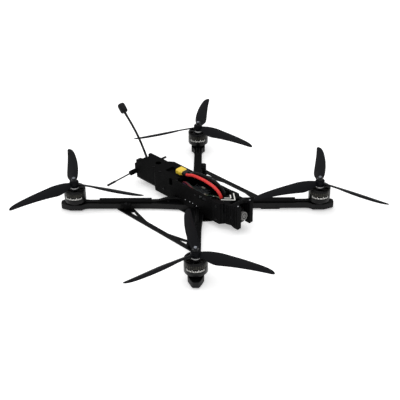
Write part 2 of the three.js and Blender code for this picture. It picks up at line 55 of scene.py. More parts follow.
# Places shared with the CAD, in millimetres
MOTOR_REACH = 213.5
ARM_Z, ARM_TOP = 2.8, 13.2
BODY_TOP = 51.0
TILT_Y, TILT_Z, TILT_REST = -98.0, 30.1, math.radians(8)
BELL_R, BELL_Z, BELL_TOP = 19.0, 18.2, 42.0
HUB_Z, HUB_TOP, NUT_Z, SHAFT_TOP = 44.6, 55.4, 55.7, 62.5
LUG_AT, LUG_OUT = 124.5, 11.95
BODY_HALF, REAR_TOP, COVER_TOP = 24, 50, 17.1  # body side, rear housing top, arm cover top
STACK_HOLE = 15.25  # half the pitch of the circuit boards' mounting holes
CORNERS = [
    # name, arm heading, turn, blade heading, side of the brace lug
    ("front_starboard", 225, 1, 50.6, -1),
    ("front_port", 315, -1, 40.5, 1),
    ("rear_port", 45, 1, 36.0, -1),
    ("rear_starboard", 135, -1, 56.6, 1),
]


# ---------- camera

CAMERA_AT = (-0.94365, -0.97504, 0.84543)
CAMERA_TURN = (-44.273, 31.45, -0.646)


def add_camera():
    """The view: azimuth from -Y, elevation and roll are CAMERA_TURN's degrees."""
    azimuth, elevation, roll = (math.radians(a) for a in CAMERA_TURN)
    back = Vector((
        math.sin(azimuth) * math.cos(elevation),
        -math.cos(azimuth) * math.cos(elevation),
        math.sin(elevation),
    ))
    level = Vector((math.cos(azimuth), math.sin(azimuth), 0))
    upright = back.cross(level)
    right = level * math.cos(roll) + upright * math.sin(roll)
    up = upright * math.cos(roll) - level * math.sin(roll)
    data = bpy.data.cameras.new("camera")
    data.lens = 81.5
    data.sensor_width = 36
    data.clip_start = 0.05
    data.clip_end = 60
    camera = bpy.data.objects.new("camera", data)
    bpy.context.scene.collection.objects.link(camera)
    turned = Matrix((right, up, back)).transposed().to_4x4()
    camera.matrix_world = Matrix.Translation(CAMERA_AT) @ turned
    bpy.context.scene.camera = camera


add_camera()


# ---------- material kit

class Shader:
    """One material and the few node shapes that all of them are made from."""

    def __init__(self, name, color, roughness, metallic=0.0, specular=0.3):
        self.material = bpy.data.materials.new(name)
        self.material.use_nodes = True
        self.tree = self.material.node_tree
        self.bsdf = self.tree.nodes["Principled BSDF"]
        self.bsdf.inputs["Base Color"].default_value = (*color, 1)
        self.bsdf.inputs["Roughness"].default_value = roughness
        self.bsdf.inputs["Metallic"].default_value = metallic
        self.bsdf.inputs["Specular IOR Level"].default_value = specular
        self.color = color
        self._coordinates = None

    def node(self, kind, **settings):
        made = self.tree.nodes.new(kind)
        for key, value in settings.items():
            setattr(made, key, value)
        return made

    def feed(self, socket, value):
        if isinstance(value, bpy.types.NodeSocket):
            self.tree.links.new(value, socket)
        else:
            socket.default_value = value

    def math(self, operation, *values):
        made = self.node("ShaderNodeMath", operation=operation)
        for socket, value in zip(made.inputs, values):
            self.feed(socket, value)
        return made.outputs[0]

    def place(self, output="Object"):
        if self._coordinates is None:
            self._coordinates = self.node("ShaderNodeTexCoord")
        return self._coordinates.outputs[output]

    def xyz(self, output="Object"):
        split = self.node("ShaderNodeSeparateXYZ")
        self.feed(split.inputs[0], self.place(output))
        return split.outputs[0], split.outputs[1], split.outputs[2]

    def noise(self, scale, detail=3.0, roughness=0.55, stretch=(1, 1, 1)):
        mapping = self.node("ShaderNodeMapping")
        self.feed(mapping.inputs["Vector"], self.place())
        mapping.inputs["Scale"].default_value = stretch
        made = self.node("ShaderNodeTexNoise")
        self.feed(made.inputs["Vector"], mapping.outputs[0])
        made.inputs["Scale"].default_value = scale
        made.inputs["Detail"].default_value = detail
        made.inputs["Roughness"].default_value = roughness
        return made.outputs[0]

    def span(self, value, low, high, start=0.0, end=1.0):
        """value, from start to end, moved to low to high."""
        made = self.node("ShaderNodeMapRange")
        for key, number in (("Value", value), ("From Min", start), ("From Max", end),
                            ("To Min", low), ("To Max", high)):
            self.feed(made.inputs[key], number)
        return made.outputs[0]

    def blend(self, factor, first, second):
        made = self.node("ShaderNodeMix", data_type="RGBA")
        self.feed(made.inputs[0], factor)
        for socket, value in ((made.inputs[6], first), (made.inputs[7], second)):
            self.feed(socket, (*value, 1) if isinstance(value, tuple) else value)
        return made.outputs[2]

    def ripple(self, value, pitch_mm):
        """A wave from 0 to 1 along value, one crest every pitch."""
        turned = self.math("MULTIPLY", value, TAU / (pitch_mm * MM))
        return self.math("MULTIPLY_ADD", self.math("SINE", turned), 0.5, 0.5)

    def facing_up(self):
        """1 on faces that look up or down, 0 on upright ones."""
        return self.math("GREATER_THAN", self.math("ABSOLUTE", self.xyz("Normal")[2]), 0.6)

    def edges(self, radius_mm, gain=6.0):
        """A mask that is 1 along outside and inside edges."""
        rounded = self.node("ShaderNodeBevel", samples=4)
        rounded.inputs["Radius"].default_value = radius_mm * MM
        plain = self.node("ShaderNodeNewGeometry")
        dot = self.node("ShaderNodeVectorMath", operation="DOT_PRODUCT")
        self.feed(dot.inputs[0], rounded.outputs[0])
        self.feed(dot.inputs[1], plain.outputs["Normal"])
        bent = self.math("SUBTRACT", 1.0, dot.outputs["Value"])
        made = self.math("MULTIPLY", bent, gain)
        made.node.use_clamp = True
        return made

    def bump(self, height, depth_mm, strength=1.0, under=None):
        made = self.node("ShaderNodeBump")
        made.inputs["Strength"].default_value = strength
        made.inputs["Distance"].default_value = depth_mm * MM
        self.feed(made.inputs["Height"], height)
        if under is not None:
            self.feed(made.inputs["Normal"], under)
        return made.outputs[0]

    def set(self, **sockets):
        names = {"color": "Base Color", "roughness": "Roughness", "normal": "Normal"}
        for key, value in sockets.items():
            self.feed(self.bsdf.inputs[names[key]], value)
        return self


def lighter(color, gain, lift=0.0):
    return tuple(min(1.0, c * gain + lift) for c in color)


def carbon():
    """Twill-woven laminate: tows on the flat faces, plies along the cut edges."""
    s = Shader("carbon_laminate", (0.004, 0.004, 0.0045), 0.42, specular=0.09)
    x, y, z = s.xyz()
    tow = 1.1
    u = s.math("DIVIDE", x, tow * MM)
    v = s.math("DIVIDE", y, tow * MM)
    step = s.math("SUBTRACT", s.math("FLOOR", u), s.math("FLOOR", v))
    warp = s.math("LESS_THAN", s.math("FLOORED_MODULO", step, 4.0), 2.0)
    across = s.math("SINE", s.math("MULTIPLY", s.math("FRACT", u), math.pi))
    along = s.math("SINE", s.math("MULTIPLY", s.math("FRACT", v), math.pi))
    tows = s.math("ADD", s.math("MULTIPLY", warp, across),
                  s.math("MULTIPLY", s.math("SUBTRACT", 1.0, warp), along))
    ply = s.ripple(z, 0.42)
    flat = s.facing_up()
    edge = s.edges(0.7)
    face = s.blend(warp, (0.0014, 0.0015, 0.0017), (0.0038, 0.0039, 0.0043))
    cut = s.blend(ply, (0.008, 0.008, 0.0083), (0.02, 0.02, 0.0205))
    clouds = s.noise(90, 4)
    worn = s.math("MULTIPLY", edge, s.span(clouds, 0.0, 0.5))
    color = s.blend(worn, s.blend(flat, cut, face), (0.02, 0.02, 0.022))
    height = s.math("ADD", s.math("MULTIPLY", tows, flat),
                    s.math("MULTIPLY", ply, s.math("SUBTRACT", 1.0, flat)))
    rough = s.math("ADD", s.span(clouds, -0.05, 0.09), s.span(flat, 0.52, 0.37))
    return s.set(color=color, roughness=rough, normal=s.bump(height, 0.035, 0.55)).material


def printed(name, color, line=0.42, ribs=0.0, edge_wear_and_highlight_gain=3.0):
    """Printed plastic: layer lines up the walls, the last raster over the flat faces with painted light
    that makes them lighter than the walls, and upright ribs along the side walls, drawn only as painted
    highlight stripes where ribs gives their pitch."""
    s = Shader(name, color, 0.6, specular=0.035)
    x, y, z = s.xyz()
    layers = s.ripple(z, line)
    raster = s.ripple(s.math("ADD", x, y), line * 1.9)
    flat = s.facing_up()
    height = s.math("ADD", s.math("MULTIPLY", raster, flat),
                    s.math("MULTIPLY", layers, s.math("SUBTRACT", 1.0, flat)))
    clouds = s.noise(70, 5, 0.6)
    speck = s.noise(1800, 2)
    body = s.blend(clouds, lighter(color, 0.75), lighter(color, 1.3))
    # painted light: flat faces are made up to 2.6 times lighter than the walls
    body = s.blend(flat, body, s.blend(clouds, lighter(color, 1.0), lighter(color, 2.6)))
    striped = s.blend(s.math("MULTIPLY", height, 0.3), body, lighter(color, 1.9, 0.001))
    if ribs:
        # painted highlight: lighter upright stripes on the walls stand for light on rib crests; the
        # ribs have no relief
        rib_highlight = s.math("MULTIPLY", s.ripple(y, ribs), s.math("SUBTRACT", 1.0, flat))
        striped = s.blend(s.math("POWER", rib_highlight, 3.0), striped, lighter(color, 2.2, 0.003))
    # lighter edges: partly wear, partly a painted highlight along them; the gain argument sets how
    # light
    worn = s.math("MULTIPLY", s.edges(0.8), s.span(speck, 0.15, 0.6))
    edged = s.blend(worn, striped, lighter(color, edge_wear_and_highlight_gain, 0.006))
    normal = s.bump(speck, 0.02, 0.35, under=s.bump(height, 0.05, 0.5))
    return s.set(color=edged, roughness=s.span(clouds, 0.5, 0.7), normal=normal).material


def moulded(name, color, roughness=0.5, specular=0.3, grain=900, depth=0.02, coat=0.0):
    """Injection-moulded or rubbery skin: fine grain, faint flow marks, brighter edges."""
    s = Shader(name, color, roughness, specular=specular)
    s.bsdf.inputs["Coat Weight"].default_value = coat
    s.bsdf.inputs["Coat Roughness"].default_value = 0.25
    fine = s.noise(grain, 3)
    flow = s.noise(60, 4, 0.6)
    body = s.blend(flow, lighter(color, 0.8), lighter(color, 1.22))
    edged = s.blend(s.math("MULTIPLY", s.edges(0.4, 4.0), 0.45), body, lighter(color, 1.7, 0.006))
    rough = s.span(flow, max(0.05, roughness - 0.07), roughness + 0.09)
    return s.set(color=edged, roughness=rough, normal=s.bump(fine, depth, 0.4)).material


def blade_nylon():
    """Glass-filled nylon: flow streaks running out along the blades and a satin skin."""
    color = (0.0034, 0.0037, 0.005)
    s = Shader("propeller_nylon", color, 0.42, specular=0.065)
    streaks = s.noise(160, 4, 0.6, stretch=(0.35, 0.35, 2.0))
    fine = s.noise(1400, 2)
    body = s.blend(streaks, lighter(color, 0.8), lighter(color, 1.25))
    worn = s.math("MULTIPLY", s.edges(0.45, 5.0), s.span(fine, 0.1, 0.55))
    edged = s.blend(worn, body, (0.012, 0.0128, 0.0155))
    rough = s.span(streaks, 0.36, 0.52)
    return s.set(color=edged, roughness=rough, normal=s.bump(fine, 0.012, 0.4)).material


def metal(name, color, roughness, turned=0.0, metallic=1.0, worn=None, specular=0.5):
    """Turned or brushed metal; turned is the pitch of the tool marks up the axis."""
    s = Shader(name, color, roughness, metallic, specular)
    clouds = s.noise(220, 4, 0.6)
    body = s.blend(clouds, lighter(color, 0.82), lighter(color, 1.15))
    # worn lightens the edges: wear, and for the lock nut's material also a painted highlight
    if worn:
        scuffs = s.math("MULTIPLY", s.edges(0.35, 5.0), s.span(s.noise(700, 3), 0.0, 0.9))
        body = s.blend(scuffs, body, worn)
    height = s.noise(2600, 2)
    if turned:
        height = s.math("ADD", s.ripple(s.xyz()[2], turned), s.math("MULTIPLY", height, 0.6))
    rough = s.span(clouds, max(0.04, roughness - 0.08), roughness + 0.1)
    return s.set(color=body, roughness=rough, normal=s.bump(height, 0.012, 0.35)).material


def knurled():
    """The flux ring: a fine diamond knurl in oiled steel, with painted highlights on the knurl's crests
    and painted shade in its grooves.
    """
    color = (0.0125, 0.0118, 0.008)
    s = Shader("flux_ring", color, 0.4, 0.5, 0.25)
    x, y, z = s.xyz()
    angle = s.math("ARCTAN2", y, x)
    turns, pitch = 17.0, 6.0
    first = s.math("SINE", s.math("ADD", s.math("MULTIPLY", angle, turns),
                                  s.math("MULTIPLY", z, TAU / (pitch * MM))))
    second = s.math("SINE", s.math("SUBTRACT", s.math("MULTIPLY", angle, turns),
                                   s.math("MULTIPLY", z, TAU / (pitch * MM))))
    height = s.math("MULTIPLY_ADD", s.math("MULTIPLY", first, second), 0.5, 0.5)
    grit = s.noise(650, 3)
    # painted highlight on the knurl's crests and painted shade in its grooves, broken up by grit
    light = s.math("MULTIPLY", s.span(height, 0, 1, 0.45, 0.9), s.span(grit, 0.2, 1.3, 0.35, 0.65))
    shade = s.blend(light, (0.0014, 0.0014, 0.0012), (0.07, 0.067, 0.052))
    rough = s.span(s.noise(300, 4), 0.32, 0.5)
    return s.set(color=shade, roughness=rough, normal=s.bump(height, 0.12, 0.8)).material


def silicone(name, color, specular=0.35, coat=0.12, sheen=0.06):
    """Soft wire insulation with a dusty bloom and tiny moulding ripples."""
    s = Shader(name, color, 0.38, specular=specular)
    s.bsdf.inputs["Coat Weight"].default_value = coat
    s.bsdf.inputs["Coat Roughness"].default_value = 0.3
    s.bsdf.inputs["Sheen Weight"].default_value = sheen
    dust = s.noise(120, 5, 0.65)
    fine = s.noise(1600, 2)
    body = s.blend(dust, lighter(color, 0.86), lighter(color, 1.12, 0.002))
    return s.set(color=body, roughness=s.span(dust, 0.3, 0.5), normal=s.bump(fine, 0.015, 0.4)).material


def copper():
    """Enamelled winding: strands laid side by side."""
    s = Shader("copper_winding", (0.09, 0.036, 0.016), 0.35, 0.8, 0.4)
    strands = s.ripple(s.xyz()[2], 0.55)
    shade = s.blend(strands, (0.002, 0.0013, 0.0009), (0.008, 0.005, 0.003))
    return s.set(color=shade, roughness=s.span(s.noise(400), 0.25, 0.42),
                 normal=s.bump(strands, 0.12, 0.8)).material


def board_mask(name, color):
    """Solder mask over copper: faint traces, pads and a wet sheen."""
    s = Shader(name, color, 0.32, specular=0.45)
    x, y, _ = s.xyz()
    lines = s.math("MULTIPLY", s.ripple(x, 1.7), s.ripple(y, 2.3))
    traces = s.math("GREATER_THAN", s.math("ADD", lines, s.noise(260, 2)), 0.98)
    shade = s.blend(traces, color, lighter(color, 2.0, 0.004))
    return s.set(color=shade, roughness=s.span(s.noise(200), 0.26, 0.42),
                 normal=s.bump(traces, 0.03, 0.4)).material


def paint(name, color):
    """Printed ink with a slightly broken edge and pinholes."""
    s = Shader(name, color, 0.5, specular=0.3)
    pins = s.math("GREATER_THAN", s.noise(1500, 2), 0.72)
    shade = s.blend(pins, s.blend(s.noise(200), lighter(color, 0.9), color), lighter(color, 0.45))
    return s.set(color=shade, roughness=s.span(s.noise(500), 0.4, 0.6),
                 normal=s.bump(s.noise(900), 0.02, 0.3)).material


CARBON = carbon()
PRINTED = printed("printed_black", (0.0014, 0.0014, 0.0015))
# the nose cover: painted highlight stripes for its side ribs, and a stronger painted highlight along
# its edges
PRINTED_NOSE = printed("printed_nose", (0.0018, 0.0018, 0.002), ribs=4.6, edge_wear_and_highlight_gain=6.0)
PRINTED_ARM = printed("printed_cover", (0.0018, 0.0018, 0.002), 0.3)
NYLON = blade_nylon()
ANODISED = metal("anodised_black", (0.0035, 0.0035, 0.0039), 0.3, 0.35, 0.2, (0.14, 0.14, 0.145), 0.16)
FLUX = knurled()
BRIGHT = metal("bright_ring", (1.0, 1.0, 1.0), 0.4, 0.3, 0.1)
# the pale edge colour here is a painted highlight along the lock nuts' rims, mixed with wear; the stack
# screws share it
STEEL = metal("nut_dark", (0.006, 0.0064, 0.0075), 0.28, 0.0, 0.6, (0.12, 0.125, 0.14), 0.3)
SHAFT = metal("shaft_steel", (0.3, 0.32, 0.36), 0.28, 0.5)
BLACK_SCREW = metal("black_screw", (0.012, 0.012, 0.013), 0.36, 0.0, 0.9, (0.1, 0.1, 0.105))
PALE_SCREW = metal("pale_screw", (0.5, 0.5, 0.52), 0.32, 0.0, 1.0, (0.8, 0.8, 0.82))
LAMINATION = metal("lamination", (0.05, 0.05, 0.055), 0.42, 0.5)
COPPER = copper()
CASE = moulded("camera_shell", (0.0045, 0.0045, 0.005), 0.5, 0.16, 1300, 0.02)
ANTENNA = moulded("antenna_jacket", (0.0048, 0.0048, 0.0054), 0.46, 0.18, 1100, 0.015)
GLASS = moulded("lens_glass", (0.006, 0.006, 0.009), 0.06, 0.6, 300, 0.0, 1.0)
CAP = moulded("cap_grey", (0.185, 0.182, 0.176), 0.55, 0.3, 900, 0.03)
# cap_dot colours a dark ring on the lens cap's recessed face, painted shade inside its rim, and a small
# dot at its middle
CAP_RING = moulded("cap_dot", (0.03, 0.03, 0.03), 0.6, 0.2, 900, 0.03)
PLUG = moulded("plug_yellow", (1.0, 0.64, 0.05), 0.36, 0.5, 800, 0.012, 0.2)
BOOT = moulded("boot_black", (0.006, 0.0055, 0.0075), 0.5, 0.22, 900, 0.02)
GOLD = metal("contact_gold", (0.83, 0.56, 0.2), 0.22)
RED = silicone("wire_red", (0.72, 0.022, 0.018))
BLACK = silicone("wire_black", (0.0012, 0.0012, 0.0015), 0.1, 0.04, 0.0)
BOARD = board_mask("board_mask", (0.008, 0.012, 0.013))
CHIP = moulded("chip_epoxy", (0.012, 0.012, 0.014), 0.45, 0.35, 1600, 0.015)
SOLDER = metal("solder", (0.55, 0.56, 0.58), 0.3)
SLEEVE = moulded("capacitor_sleeve", (0.004, 0.0045, 0.0075), 0.3, 0.25, 600, 0.01, 0.1)
MARK = paint("white_mark", (0.8, 0.79, 0.75))
CONNECTOR = moulded("connector_cream", (0.3, 0.28, 0.24), 0.45, 0.35, 900, 0.01)
WIRES = [
    silicone("signal_violet", (0.06, 0.02, 0.09)),
    silicone("signal_green", (0.01, 0.06, 0.03)),
    silicone("signal_grey", (0.05, 0.05, 0.055)),
    silicone("signal_yellow", (0.2, 0.14, 0.02)),
]
BAY_WIRES = [  # x, height of the crest, insulation
    (-13.5, 44.5, silicone("wire_plum", (0.045, 0.008, 0.06), 0.25)),
    (-10.0, 46.5, silicone("wire_maroon", (0.16, 0.008, 0.02), 0.25)),
    (-6.6, 45.0, silicone("wire_bottle", (0.006, 0.022, 0.014), 0.25)),
]


# ---------- shape kit

def put(name, shape, material, nodes=(), body=AIRFRAME, matrix=None, bevel=0.0, segments=2,
        smooth=35):
    """Makes shape, a bmesh or a mesh, an object that rides on body and stands for nodes.

    The matrix's turn goes into a copy of the mesh, so that the object itself is only moved.
    """
    mesh = to_mesh(name, shape) if isinstance(shape, bmesh.types.BMesh) else shape
    if matrix is not None:
        mesh = mesh.copy()
        mesh.transform(matrix.to_3x3().to_4x4())
    mesh.materials.clear()
    mesh.materials.append(material)
    mesh.polygons.foreach_set("use_smooth", [True] * len(mesh.polygons))
    mesh.set_sharp_from_angle(angle=math.radians(smooth))
    made = bpy.data.objects.new(name, mesh)
    bpy.context.scene.collection.objects.link(made)
    if matrix is not None:
        made.location = matrix.translation
    if bevel:
        rounding = made.modifiers.new("edges", "BEVEL")
        rounding.width = bevel * MM
        rounding.segments = segments
        rounding.limit_method = "ANGLE"
        rounding.angle_limit = math.radians(28)
        rounding.harden_normals = True
    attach(made, body)
    if nodes:
        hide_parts(*nodes)
    return made


def to_mesh(name, bm):
    """The bmesh, which is in millimetres, as a mesh in metres."""
    bmesh.ops.recalc_face_normals(bm, faces=bm.faces)
    bm.transform(Matrix.Scale(MM, 4))
    mesh = bpy.data.meshes.new(name)
    bm.to_mesh(mesh)
    bm.free()
    return mesh


def refined(node, name, material, bevel, segments=2):
    """A CAD node's own shape with its flat faces made whole and its edges rounded."""
    bm = bmesh.new()
    bm.from_mesh(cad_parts[node].data)
    bmesh.ops.remove_doubles(bm, verts=bm.verts, dist=2e-6)
    bmesh.ops.dissolve_limit(bm, angle_limit=math.radians(1.5), verts=bm.verts, edges=bm.edges)
    mesh = bpy.data.meshes.new(name)
    bm.to_mesh(mesh)
    bm.free()
    put(name, mesh, material, [node], bevel=bevel, segments=segments)


def loft(bm, rings, matrix=None, closed=False, caps=True):
    """Joins rings of points, all with the same count, into one skin."""
    matrix = matrix or Matrix()
    rows = [[bm.verts.new(matrix @ Vector(p)) for p in ring] for ring in rings]
    pairs = list(zip(rows, rows[1:]))
    if closed:
        pairs.append((rows[-1], rows[0]))
    for low, high in pairs:
        for i in range(len(low)):
            j = (i + 1) % len(low)
            bm.faces.new((low[i], low[j], high[j], high[i]))
    if caps and not closed:
        bm.faces.new(rows[0])
        bm.faces.new(rows[-1])


def circle(radius, z, sides, at=(0, 0)):
    return [
        (at[0] + radius * math.cos(TAU * i / sides), at[1] + radius * math.sin(TAU * i / sides), z)
        for i in range(sides)
    ]


def hexagon(half_across, z, sides, limit=math.inf):
    """A hexagon of sides points, with its corners turned down to the limit's radius."""
    ring = []
    for i in range(sides):
        a = TAU * i / sides
        nearest = round(a / (TAU / 6)) * TAU / 6
        r = min(half_across / math.cos(a - nearest), limit)
        ring.append((r * math.cos(a), r * math.sin(a), z))
    return ring


def lathe(bm, profile, sides=48, matrix=None, closed=False, at=(0, 0)):
    """Profile of (radius, z) turned about Z: capped at both ends, or closed on itself."""
    loft(bm, [circle(r, z, sides, at) for r, z in profile], matrix, closed, not closed)


def block(bm, x0, x1, y0, y1, z0, z1, matrix=None):
    loft(bm, [[(x0, y0, z), (x1, y0, z), (x1, y1, z), (x0, y1, z)] for z in (z0, z1)], matrix)


def rounded_ring(half_x, half_y, corner, z, steps=4, at=(0, 0)):
    ring = []
    for k, (sx, sy) in enumerate(((1, 1), (-1, 1), (-1, -1), (1, -1))):
        for i in range(steps + 1):
            a = math.pi / 2 * (k + i / steps)
            ring.append((at[0] + sx * (half_x - corner) + corner * math.cos(a),
                         at[1] + sy * (half_y - corner) + corner * math.sin(a), z))
    return ring


def curve_point(p, knots, t):
    """The point at t on the smooth curve that four points and their knots give."""
    def mix(a, b, i, j):
        share = (t - knots[i]) / (knots[j] - knots[i])
        return a * (1 - share) + b * share

    first, middle, last = mix(p[0], p[1], 0, 1), mix(p[1], p[2], 1, 2), mix(p[2], p[3], 2, 3)
    return mix(mix(first, middle, 0, 2), mix(middle, last, 1, 3), 1, 2)


def smooth_path(points, count):
    """count points, evenly spaced, on a smooth curve through the given ones."""
    p = [Vector(q) for q in points]
    p = [p[0] * 2 - p[1], *p, p[-1] * 2 - p[-2]]
    pieces = 16
    dense = []
    for i in range(len(p) - 3):
        knots = [0.0]
        for a, b in zip(p[i:i + 3], p[i + 1:i + 4]):
            knots.append(knots[-1] + max((b - a).length, 1e-6) ** 0.5)
        for k in range(pieces):
            t = knots[1] + (knots[2] - knots[1]) * k / pieces
            dense.append(curve_point(p[i:i + 4], knots, t))
    dense.append(p[-2])
    lengths = [0.0]
    for a, b in zip(dense, dense[1:]):
        lengths.append(lengths[-1] + (b - a).length)
    even, k = [], 0
    for i in range(count):
        want = lengths[-1] * i / (count - 1)
        while k < len(dense) - 2 and lengths[k + 1] < want:
            k += 1
        share = (want - lengths[k]) / max(lengths[k + 1] - lengths[k], 1e-9)
        even.append(dense[k].lerp(dense[k + 1], min(1.0, share)))
    return even


def tube(bm, points, radius, sides=12):
    """A round tube along points; radius is a number or one per point."""
    points = [Vector(p) for p in points]
    radii = radius if isinstance(radius, (list, tuple)) else [radius] * len(points)
    normal = None
    rings = []
    for i, point in enumerate(points):
        along = (points[min(i + 1, len(points) - 1)] - points[max(i - 1, 0)]).normalized()
        if normal is None:
            normal = along.cross(Vector((0.1, 0.2, 1))).normalized()
        normal = (normal - along * normal.dot(along)).normalized()
        side = along.cross(normal)
        rings.append([
            point + (normal * math.cos(TAU * k / sides) + side * math.sin(TAU * k / sides)) * radii[i]
            for k in range(sides)
        ])
    loft(bm, rings)


def polar_plate(bm, radii, steps, z0, z1, solid):
    """A flat ring cut into cells by radius and angle; solid(row, step) says which stay."""
    verts = {}

    def vert(i, j, z):
        key = (i, j % steps, z)
        if key not in verts:
            a = TAU * (j % steps) / steps
            verts[key] = bm.verts.new((radii[i] * math.cos(a), radii[i] * math.sin(a), z))
        return verts[key]

    def there(i, j):
        return 0 <= i < len(radii) - 1 and solid(i, j % steps)

    for i in range(len(radii) - 1):
        for j in range(steps):
            if not there(i, j):
                continue
            for z in (z0, z1):
                corners = ((i, j), (i + 1, j), (i + 1, j + 1), (i, j + 1))
                bm.faces.new([vert(*corner, z) for corner in corners])
            sides = (
                (there(i - 1, j), (i, j), (i, j + 1)),
                (there(i + 1, j), (i + 1, j), (i + 1, j + 1)),
                (there(i, j - 1), (i, j), (i + 1, j)),
                (there(i, j + 1), (i, j + 1), (i + 1, j + 1)),
            )
            for hidden, a, b in sides:
                if not hidden:
                    bm.faces.new([vert(*a, z0), vert(*b, z0), vert(*b, z1), vert(*a, z1)])


def screw(bm, at, radius=2.6, height=1.6, axis="+Z", matrix=None, flush=False):
    """A screw head with a hex socket on a seat at the given point: a button, or sunk flush."""
    turn = {
        "+Z": Matrix(),
        "-Z": Matrix.Rotation(math.pi, 4, "X"),
        "+X": Matrix.Rotation(math.pi / 2, 4, "Y"),
        "-X": Matrix.Rotation(-math.pi / 2, 4, "Y"),
    }[axis]
    sides = 24
    socket = radius * 0.5 * math.cos(TAU / 12)
    rings = [
        circle(radius * 0.96, -0.05, sides), circle(radius, 0.15, sides),
        circle(radius * 0.97, height * 0.45, sides), circle(radius * 0.82, height * 0.82, sides),
        circle(radius * 0.66, height, sides), hexagon(socket, height * 0.98, sides),
        hexagon(socket, height * 0.4, sides),
    ]
    if flush:
        rings = [
            circle(radius * 0.8, -0.5, sides), circle(radius, 0.0, sides),
            circle(radius * 0.95, 0.04, sides), hexagon(socket, 0.04, sides),
            hexagon(socket, -0.45, sides),
        ]
    place = (matrix or Matrix()) @ Matrix.Translation(at) @ turn
    loft(bm, rings, place)


def interpolate(points, x):
    """A smooth curve through (x, y) points, read at x."""
    i = 0
    while i < len(points) - 2 and points[i + 1][0] < x:
        i += 1

    def slope(k):
        a, b = points[max(k - 1, 0)], points[min(k + 1, len(points) - 1)]
        return (b[1] - a[1]) / (b[0] - a[0])

    (x0, y0), (x1, y1) = points[i], points[i + 1]
    h = x1 - x0
    t = (x - x0) / h
    return ((2 * t ** 3 - 3 * t ** 2 + 1) * y0 + (t ** 3 - 2 * t ** 2 + t) * h * slope(i)
            + (3 * t ** 2 - 2 * t ** 3) * y1 + (t ** 3 - t ** 2) * h * slope(i + 1))


# ---------- battery lead

RED_ROUTE = [
    (1.4, 27.4, 55.3), (1.4, 24.2, 55.7), (1.3, 20.4, 57.1), (1, 15.3, 59.2), (0.6, 8.9, 60.9),
    (0.2, 2.5, 61.9), (-0.1, -4.1, 62.6), (-0.5, -10.6, 63.1), (-0.9, -17.1, 63.4),
    (-1.4, -23.7, 63.5), (-2, -30.2, 63.4), (-2.6, -36.8, 63.1), (-3.2, -43.3, 62.3),
    (-3.8, -49.6, 60.7), (-4.3, -55.6, 58.2), (-4.8, -60.7, 54.2), (-5, -63.9, 48.6),
    (-5, -64.1, 42), (-5, -61.8, 36), (-5, -57, 31.5),
]
BLACK_ROUTE = [
    (8.6, 27.4, 55.3), (8.5, 24.2, 55.8), (8.4, 20.5, 57.4), (8, 15.6, 60.1), (7.7, 9.1, 62.3),
    (7.4, 2.5, 63.7), (7.1, -4.1, 64.6), (6.8, -10.7, 65.4), (6.4, -17.4, 66), (6.1, -24.1, 66.4),
    (5.8, -30.8, 66.5), (5.5, -37.5, 66.3), (5.1, -44.1, 65.2), (4.8, -50.5, 63.1),
    (4.4, -56.2, 59.8), (3.8, -60.8, 55), (3.5, -63.7, 49), (3.4, -64.2, 42.3),
    (3.4, -61.9, 36.1), (3.4, -57, 31.5),
]
LEAD_RADIUS = 2.75


def lead(name, route, material, node):
    data = bpy.data.curves.new(name, "CURVE")
    data.dimensions = "3D"
    data.bevel_depth = LEAD_RADIUS * MM
    data.bevel_resolution = 5
    data.use_fill_caps = True
    data.materials.append(material)
    path = smooth_path(list(reversed(route)), 90)
    spline = data.splines.new("POLY")
    spline.points.add(len(path) - 1)
    for point, at in zip(spline.points, path):
        point.co = (*(at * MM), 1)
    spline.use_smooth = True
    made = bpy.data.objects.new(name, data)
    bpy.context.scene.collection.objects.link(made)
    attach(made, AIRFRAME)
    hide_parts(node)
    length = sum((b - a).length for a, b in zip(path, path[1:])) * MM
    return made, length


PLUG_AT = (5, 36.3, 51.3)
PLUG_WIDE, PLUG_TALL, PLUG_LONG = 16, 8, 14
CONTACT_OUT = 3.6


